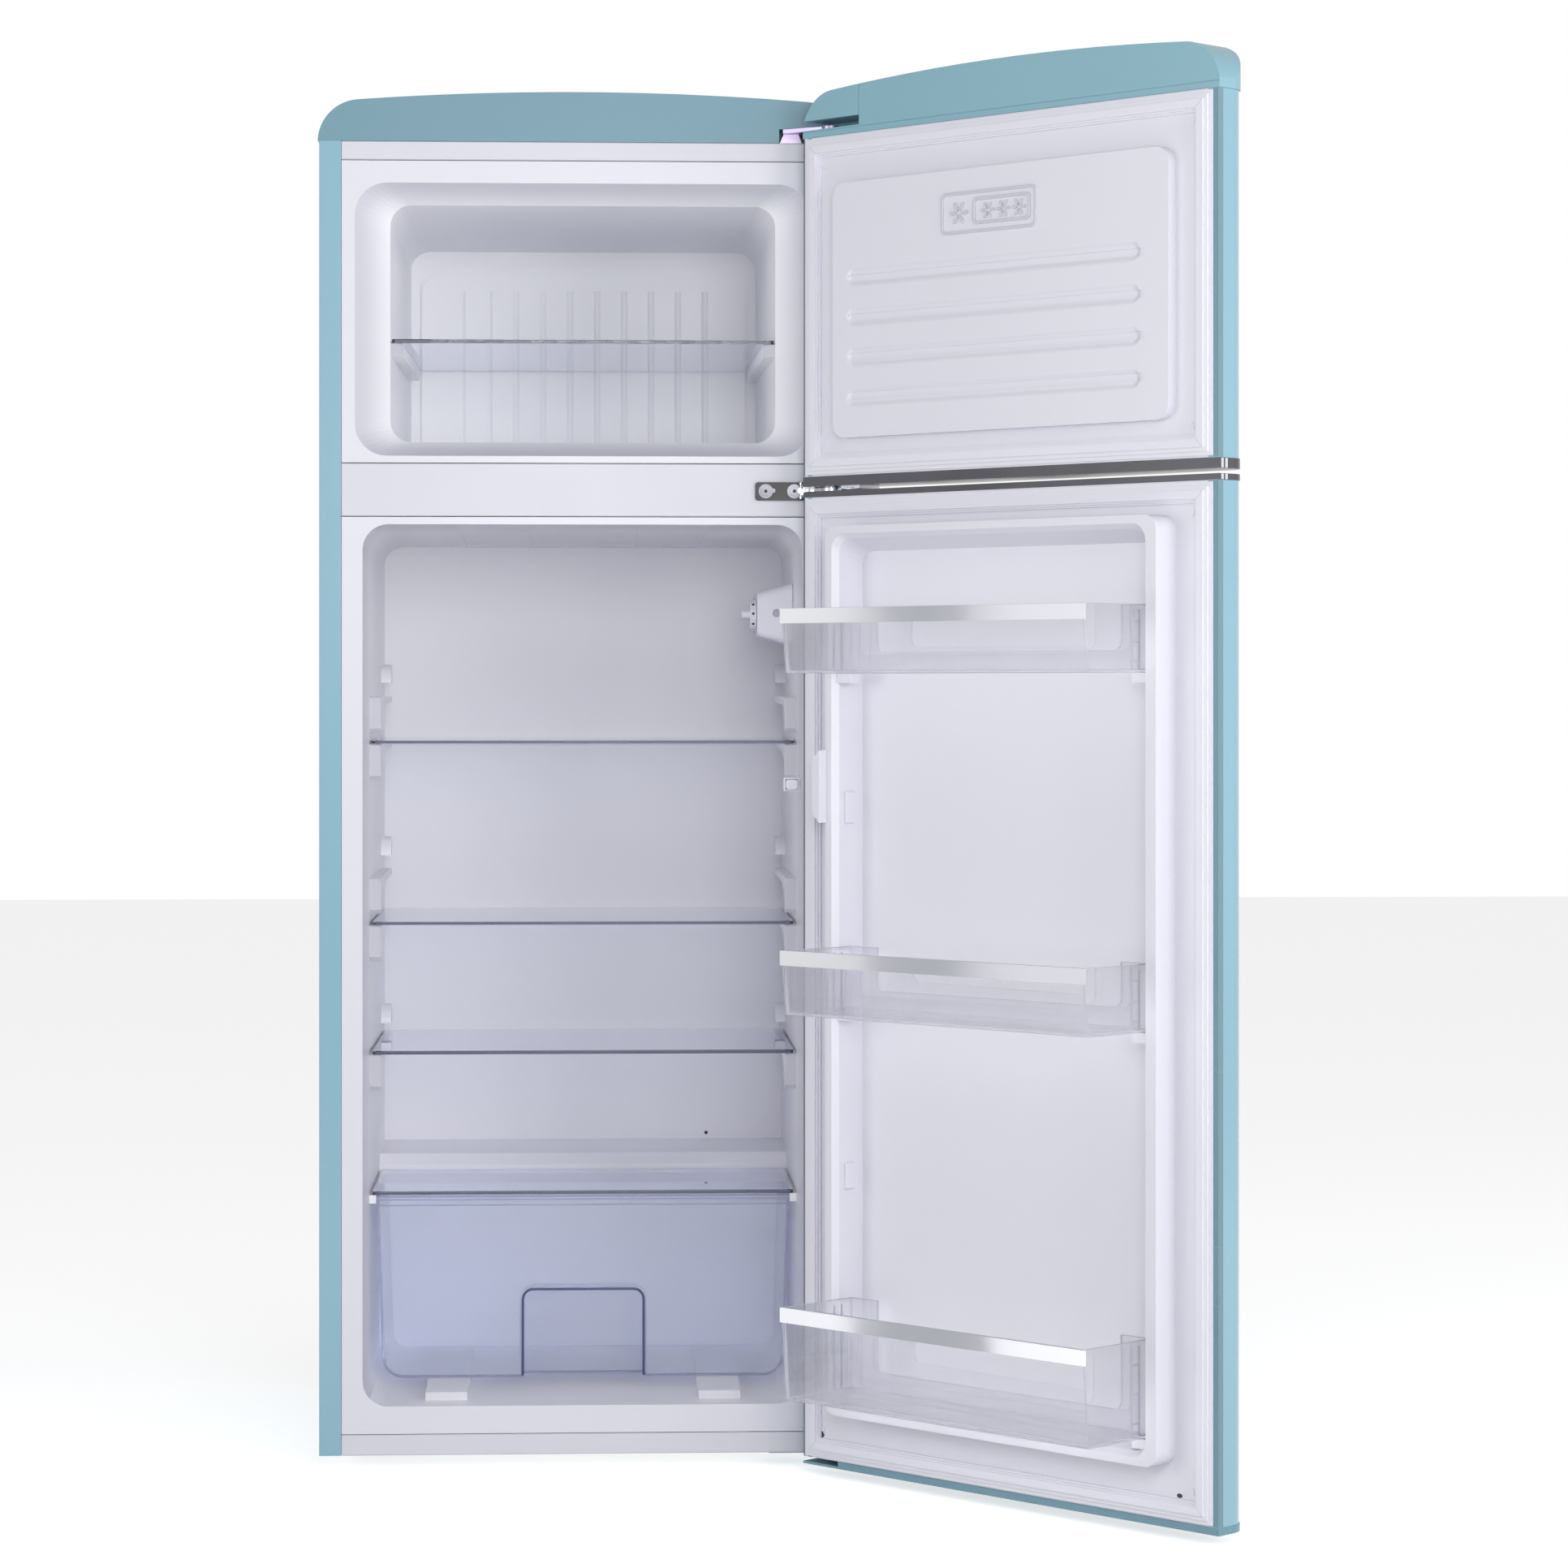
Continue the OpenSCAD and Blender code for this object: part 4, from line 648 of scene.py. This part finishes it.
def rounded(x0, x1, z0, z1, radius, steps=6):
    """Outline of a rectangle with round corners."""
    corners = ((x1 - radius, z1 - radius, 0), (x0 + radius, z1 - radius, 90),
               (x0 + radius, z0 + radius, 180), (x1 - radius, z0 + radius, 270))
    turns = [(cx, cz, math.radians(start + 90 * k / steps)) for cx, cz, start in corners
             for k in range(steps + 1)]
    return [(cx + radius * math.cos(a), cz + radius * math.sin(a)) for cx, cz, a in turns]


def disc(cx, cz, radius, steps=24):
    """Outline of a circle."""
    turns = [2 * math.pi * k / steps for k in range(steps)]
    return [(cx + radius * math.cos(a), cz + radius * math.sin(a)) for a in turns]


def box_outline(x0, x1, z0, z1):
    """Outline of a plain rectangle."""
    return [(x0, z0), (x1, z0), (x1, z1), (x0, z1)]


def skin(form, rows, closed=True):
    """Joins rows of points with faces; the ends are filled unless the rows form a ring."""
    points = [[form.verts.new(p) for p in row] for row in rows]
    count = len(points[0])
    pairs = list(zip(points, points[1:]))
    if not closed:
        pairs.append((points[-1], points[0]))
    for near, far in pairs:
        for i in range(count):
            j = (i + 1) % count
            form.faces.new((near[i], near[j], far[j], far[i]))
    if closed:
        form.faces.new(points[0])
        form.faces.new(points[-1][::-1])


def plate(form, outline, low, high):
    """A front-view outline of (x, z) points, thick from y = low to y = high."""
    skin(form, [[(x, low, z) for x, z in outline], [(x, high, z) for x, z in outline]])


def frame_ring(form, outer, inner, low, high):
    """A flat frame between two outlines with the same number of points."""
    skin(form, [[(x, low, z) for x, z in outer], [(x, high, z) for x, z in outer],
                [(x, high, z) for x, z in inner], [(x, low, z) for x, z in inner]], closed=False)


def line_curve(name, radius, resolution):
    """An empty curve that draws round lines of one radius in millimetres."""
    curve = bpy.data.curves.new(name, "CURVE")
    curve.dimensions = "3D"
    curve.bevel_depth = radius / 1000
    curve.bevel_resolution = resolution
    return curve


def add_line(curve, places):
    """A straight-sided line through places of the frame."""
    spline = curve.splines.new("POLY")
    spline.points.add(len(places) - 1)
    for point, place in zip(spline.points, places):
        point.co = (*place, 1)


def wire(name, paths, radius, material, body):
    """Bent wires or pipes, each through a row of points in millimetres."""
    curve = line_curve(name, radius, 3)
    curve.use_fill_caps = True
    for path in paths:
        add_line(curve, [to_frame(*place) for place in path])
    curve.materials.append(material)
    join(name, curve, body)


# %% [markdown]
# The freezer door's panel carries an embossed star sign: a raised frame round one large star and a
# smaller frame with three small stars. Each star has six petals.

# %% Star sign on the freezer door


def star(form, cx, cz, radius, low, high):
    """Six petals round a centre."""
    for k in range(6):
        turn = math.radians(60 * k)
        petal = [(0.14, 0.0), (0.45, 0.13), (0.8, 0.17), (1.0, 0.0), (0.8, -0.17), (0.45, -0.13)]
        plate(form, [(cx + radius * (a * math.cos(turn) - b * math.sin(turn)),
                      cz + radius * (a * math.sin(turn) + b * math.cos(turn))) for a, b in petal], low, high)


panel_face = 4.0
sunk = panel_face - 0.2
sign_face = panel_face + 2.0
sign = bmesh.new()
frame_ring(sign, rounded(-56, 71, 1271, 1313, 6), rounded(-53, 68, 1274, 1310, 4), sunk, panel_face + 1.6)
frame_ring(sign, rounded(-48, 28, 1279, 1306, 5), rounded(-45, 25, 1282, 1303, 3), sunk, sign_face)
star(sign, 47, 1292, 12.5, sunk, sign_face)
for centre in (-33, -12.5, 8):
    star(sign, centre, 1292.2, 9.4, sunk, sign_face)
settle("star_sign", sign, sign_white, "freezer_door", on_door=True, soft=0.6)

# %% [markdown]
# The gaskets are welded from four strips, so each corner shows a fine mitre. The liner has a small
# nub in each corner beside the gasket.

# %% Gasket mitres and corner nubs
for door in ("freezer_door", "fridge_door"):
    low, high = millimetres(door + "_shell")
    z_low, z_high = low.z - 4, high.z + 4
    mitres = bmesh.new()
    nubs = bmesh.new()
    for sx in (-1, 1):
        for z_edge, sz in ((z_low, 1), (z_high, -1)):
            corner = (sx * (half_mm - 14), z_edge + 14 * sz)
            inner = (sx * (half_mm - 22), z_edge + 22 * sz)
            plate(mitres, [(corner[0], corner[1]), (corner[0] - sx * 0.5, corner[1]),
                           (inner[0], inner[1] - sz * 0.5), (inner[0], inner[1])], -0.6, -0.42)
            nx, nz = sx * (half_mm - 29), z_edge + 31 * sz
            plate(nubs, [(nx, nz), (nx - sx * 1.2, nz), (nx - sx * 1.2, nz + sz * 3.5),
                         (nx - sx * 4, nz + sz * 7), (nx - sx * 1.2, nz + sz * 7.6), (nx, nz + sz * 4.5)],
                  -7.2, -6.2)
    settle(door + "_mitres", mitres, gasket_shade, door, on_door=True)
    settle(door + "_nubs", nubs, door_liner_white, door, on_door=True, soft=0.2)

# %% [markdown]
# Seen from inside, the door's steel edge shows on both long sides. On the hinge side the liner ends
# in a thin lip, and a dark line of painted shade lies where it folds. On the free side a narrow band of
# steel, taken here for a hem, is painted a darker turquoise as painted shade, and the dark trims end
# there in two polished beads.

# %% Long edges of the doors
edge_inset = 0.5
door_edge = -7.1
for door in ("freezer_door", "fridge_door"):
    low, high = millimetres(door + "_shell")
    z_low, z_high = low.z + edge_inset, high.z - edge_inset
    lip, fold, hem = bmesh.new(), bmesh.new(), bmesh.new()
    plate(lip, box_outline(half_mm - 6, half_mm - 1.7, z_low, z_high), door_edge, -6.85)
    # The dark line in the fold is painted shade.
    plate(fold, box_outline(half_mm - 1.7, half_mm - 0.1, z_low, z_high), door_edge, -6.9)
    # The hem strips take a darker turquoise: painted shade.
    plate(hem, box_outline(-half_mm, -half_mm + 5.6, z_low, z_high), door_edge, -6.9)
    plate(hem, box_outline(-half_mm - 0.1, -half_mm + 0.2, z_low, z_high), -14.5, -7.0)
    settle(door + "_lip", lip, door_liner_white, door, on_door=True)
    settle(door + "_fold", fold, seam_shadow, door, on_door=True)
    settle(door + "_hem", hem, hem_painted_shade, door, on_door=True)

# %% Polished beads at the ends of the door trims
trim_low, trim_high = millimetres("freezer_door_trim")
bead_span = {"freezer_door": (trim_low.z + 0.4, trim_low.z + 9.6)}
trim_low, trim_high = millimetres("fridge_door_trim")
bead_span["fridge_door"] = (trim_high.z - 5.6, trim_high.z - 0.4)
for door, (z_low, z_high) in bead_span.items():
    beads = bmesh.new()
    for y in (-20, -14):
        plate(beads, box_outline(-half_mm - 1.15, -half_mm - 0.8, z_low, z_high), y, y + 3.4)
    settle(door + "_trim_beads", beads, chrome, door, on_door=True)

# %% [markdown]
# The inner wall beside the hinge has two more lugs, between those that the bins hang on.

# %% Spare lugs for the bins
lugs = bmesh.new()
for z_low, z_high in ((678, 711), (303, 330)):
    plate(lugs, rounded(198.6, 203.0, z_low, z_high, 1.6, 4), -4.0, 9.0)
settle("spare_lugs", lugs, door_liner_white, "fridge_door", on_door=True, soft=0.6)

# %% [markdown]
# Small dark discs of painted shade stand for openings too small to cut: the drain at the back of the
# refrigerator, and two holes near the lower corners of its door's liner, of which one is drawn flatter.

# %% Drain holes
drain = bmesh.new()
# A dark disc of painted shade for the drain.
plate(drain, disc(141, 304.5, 2.0, 16), 454.7, 455.3)
settle("back_drain", drain, dark_plastic, "cabinet")
holes = bmesh.new()
# Dark discs of painted shade for the holes.
plate(holes, disc(248.5, 44, 3.2), door_edge, -6.85)
flat_turns = [math.pi * k / 12 for k in range(24)]
plate(holes, [(-228 + 3.4 * math.cos(a), 43.5 + 2.2 * math.sin(a)) for a in flat_turns], door_edge, -6.85)
settle("drain_holes", holes, dark_plastic, "fridge_door", on_door=True)

# %% [markdown]
# The front and side edges of every glass plate are ground; their dark grey is painted shade. Each
# plate gets a thin dark strip round those three sides, a little lower than the glass is thick, and a
# pale one just inside its back edge.

# %% Ground edges of the glass


def edge_points(node):
    """Corners of a plate's top, in millimetres from the front plane, in order round the plate."""
    part = frame["nodes"][node]
    corners = {(round(v.x * 1000, 2), round((v.y - front_y) * 1000, 2)) for v in
               (part.matrix_world @ w.co for w in part.data.vertices)}
    middle_y = sum(c[1] for c in corners) / len(corners)
    return sorted(corners, key=lambda c: math.atan2(c[0], -(c[1] - middle_y)))


inward = 0.9985
for node in ("freezer_shelf", "shelf_1", "shelf_2", "shelf_3", "drawer_cover"):
    low, high = millimetres(node)
    outline = edge_points(node)
    front, back = bmesh.new(), bmesh.new()
    z_low, z_high = low.z + 0.6, high.z - 0.9
    skin(front, [[(x, y, z_low), (x, y, z_high), (x * inward, y + 0.25, z_high),
                  (x * inward, y + 0.25, z_low)] for x, y in outline])
    # The dark strip is painted shade along the glass's edge.
    settle(node + "_edge", front, glass_edge, body_of_node[node])
    z_low, z_high = low.z + 0.05, high.z - 0.05
    skin(back, [[(x, y - 0.4, z_low), (x, y - 0.4, z_high), (x, y - 0.6, z_high), (x, y - 0.6, z_low)]
                for x, y in (outline[-1], outline[0])])
    settle(node + "_back_edge", back, back_edge, body_of_node[node])

# %% [markdown]
# In the clear drawer the folds stand out: a dark line round the grip arch, where one looks along
# the wall, and fainter lines along its other sharp edges. These lines are painted shade of the folds;
# the bins have such lines too.

# %% Folds of the drawer
grip_half, grip_radius, grip_height = 65, 11, 83
drawer_lo = millimetres("crisper_drawer")[0]
arch = [(-grip_half, drawer_lo.z + 1)]
for k in range(7):
    turn = math.pi / 2 * k / 6
    arch.append((-grip_half + grip_radius - grip_radius * math.cos(turn),
                 drawer_lo.z + grip_height + grip_radius * math.sin(turn)))
arch = arch + [(-x, z) for x, z in reversed(arch)]
# The dark line round the grip is painted shade.
wire("grip_fold", [[(x, drawer_lo.y + 0.7, z) for x, z in arch]], 1.35, dark_fold_shade, "drawer")


def fold_lines(name, node, radius, material, least=6.0):
    """Thin lines of painted shade along the sharp edges of a clear part."""
    part = frame["nodes"][node]
    form = bmesh.new()
    form.from_mesh(part.data)
    bmesh.ops.remove_doubles(form, verts=form.verts, dist=1e-6)
    curve = line_curve(name, radius, 1)
    for fold in form.edges:
        if len(fold.link_faces) != 2 or fold.calc_length() < least / 1000:
            continue
        if fold.calc_face_angle(0.0) >= math.radians(50):
            add_line(curve, [part.matrix_world @ vertex.co for vertex in fold.verts])
    form.free()
    curve.materials.append(material)
    join(name, curve, body_of_node[node])
    print("lines along folds:", len(curve.splines))


fold_lines("drawer_folds", "crisper_drawer", 0.4, soft_fold_shade)
for k in (1, 2, 3):
    fold_lines(f"bin_{k}_folds", f"bin_{k}", 0.3, clear_fold_shade)

# %% [markdown]
# The middle hinge has a spring clip where its arm meets the black plate, washers with a small tab
# under its screws, and in each screw's head a dark disc of painted shade for its recess.

# %% Middle hinge details
arm_z = 1023.5
screw_x = (191, 221)
screw_lo, screw_hi = millimetres("middle_hinge_screws")
screw_z = (screw_lo.z + screw_hi.z) / 2
clip = bmesh.new()
plate(clip, [(226.5, arm_z - 8), (228.5, arm_z - 9), (230, arm_z - 4), (233, arm_z - 2.2), (230, arm_z + 2.2),
             (230, arm_z + 5), (228.5, arm_z + 9), (226.5, arm_z + 8), (227.4, arm_z + 3), (224.5, arm_z + 2),
             (224.5, arm_z - 2), (227.4, arm_z - 3)], -6.2, -4.4)
settle("hinge_clip", clip, chrome, "cabinet", soft=0.3)
washers, recesses = bmesh.new(), bmesh.new()
for x in screw_x:
    frame_ring(washers, disc(x, screw_z, 7.6, 32), disc(x, screw_z, 5.1, 32), -3.9, -3.0)
    plate(washers, [(x + 6, screw_z - 2.2), (x + 10, screw_z - 1.2), (x + 10, screw_z + 2.6),
                    (x + 6, screw_z + 3.4)], -3.6, -3.0)
    # A dark disc of painted shade for each recess.
    plate(recesses, disc(x, screw_z, 1.7, 16), screw_lo.y - 0.06, screw_lo.y + 0.2)
settle("screw_recesses", recesses, dark_plastic, "cabinet")
settle("hinge_washers", washers, screw_metal, "cabinet", soft=0.2)

# %% [markdown]
# Three dots on the thermostat's dial mark its settings.

# %% Dots on the dial
knob_lo, knob_hi = millimetres("thermostat_knob")
knob_r = (knob_hi.z - knob_lo.z) / 2
dial = Vector((knob_hi.x - 23.5, (knob_lo.y + knob_hi.y) / 2, (knob_lo.z + knob_hi.z) / 2))
dots = bmesh.new()
for degrees in (-40, 3, 43):
    a = math.radians(degrees)
    out = Vector((0, -math.cos(a), math.sin(a)))
    side = Vector((0, math.sin(a), math.cos(a)))
    centre = dial + out * (knob_r - 0.3)
    skin(dots, [[centre + out * lift + Vector((p, 0, 0)) + side * q for p, q in disc(0, 0, 1.5, 16)]
                for lift in (-0.6, 0.45)])
settle("dial_dots", dots, dark_plastic, "thermostat")

# %% [markdown]
# The condenser is a bent tube with fine upright steel wires welded across its runs.

# %% Condenser wires
wire_count = 58
tube_lo, tube_hi = millimetres("condenser")
wire_low, wire_high = tube_lo.z + 6, tube_hi.z - 6
wire_y = tube_hi.y - 0.75
wire_places = [-171 + 342 * k / (wire_count - 1) for k in range(wire_count)]
wire_paths = [[(x, wire_y, wire_low), (x, wire_y, wire_high)] for x in wire_places]
wire("condenser_wires", wire_paths, 0.7, black_steel, "cabinet")
print("condenser wires:", len(wire_paths))

# %% [markdown]
# Pipes lead from the compressor to the condenser and into the insulation, with round bends, and a row
# of screws down each side holds the steel back. The back can't be seen on the object, so all of this
# is what such a refrigerator usually has.

# %% Pipes at the back


def bend(points, radius=14, steps=5):
    """Replaces the inner corners of a path by round bends."""
    path = [Vector(points[0])]
    for before, here, after in zip(points, points[1:], points[2:]):
        here = Vector(here)
        a = here + (Vector(before) - here).normalized() * radius
        b = here + (Vector(after) - here).normalized() * radius
        for k in range(steps + 1):
            t = k / steps
            path.append(a * (1 - t) ** 2 + here * 2 * t * (1 - t) + b * t ** 2)
    path.append(Vector(points[-1]))
    return path


pot_lo, pot_hi = millimetres("compressor")
pipe_x = (pot_lo.x + pot_hi.x) / 2 + 62
pipe_y = (pot_lo.y + pot_hi.y) / 2 + 10
pipe_z = pot_hi.z - 120
back_mm = (back_y - front_y) * 1000
wire("discharge_pipe", [bend([(pipe_x, pipe_y, pipe_z), (pipe_x, back_mm + 14, pipe_z),
                              (pipe_x, back_mm + 14, wire_low + 40)])], 2.6, zinc, "cabinet")
drier_x, drier_y, drier_z = -150, back_mm + 12, wire_low - 46
wire("filter_drier", [[(drier_x, drier_y, drier_z), (drier_x, drier_y, wire_low + 24)]], 7, zinc,
     "cabinet")
wire("capillary", [bend([(drier_x, drier_y, drier_z), (drier_x, drier_y, drier_z - 20),
                         (-120, back_mm + 8, drier_z - 20), (-120, back_mm - 4, drier_z - 20)], 6)],
     1.2, zinc, "cabinet")

# %% Screws of the steel back
screw_rows = 8
panel_lo, panel_hi = millimetres("back_panel")
screws = bmesh.new()
for k in range(screw_rows):
    z = panel_lo.z + 60 + k * (panel_hi.z - panel_lo.z) / screw_rows
    for x in (-half_mm + 9, half_mm - 9):
        plate(screws, disc(x, z, 4, 18), back_mm, back_mm + 1.6)
settle("back_screws", screws, zinc, "cabinet", soft=0.5)

# %% [markdown]
# The floor is a plain pale plane that only catches a soft shadow. Where the camera, a mirror or a
# clear part sees it, it gets a little brightness of its own, so that it comes close to the white
# background; a faint horizon is left. That brightness lights nothing else.

# %% Floor
bpy.ops.mesh.primitive_plane_add(size=24, location=(0, 0, -0.0005))
floor = bpy.context.object
floor.name = "floor"
floor_finish = finish("floor_white", (0.88, 0.88, 0.88), rough=0.9)
floor_tree = floor_finish.node_tree
floor_lift = floor_tree.nodes.new("ShaderNodeMath")
floor_lift.operation = "MULTIPLY"
floor_lift.inputs[1].default_value = 0.62
floor_surface = floor_tree.nodes["Principled BSDF"]
floor_surface.inputs["Emission Color"].default_value = (1, 1, 1, 1)
floor_tree.links.new(seen_directly(floor_tree), floor_lift.inputs[0])
floor_tree.links.new(floor_lift.outputs[0], floor_surface.inputs["Emission Strength"])
floor.data.materials.append(floor_finish)
print("floor is", round(floor.dimensions.x), "m wide")
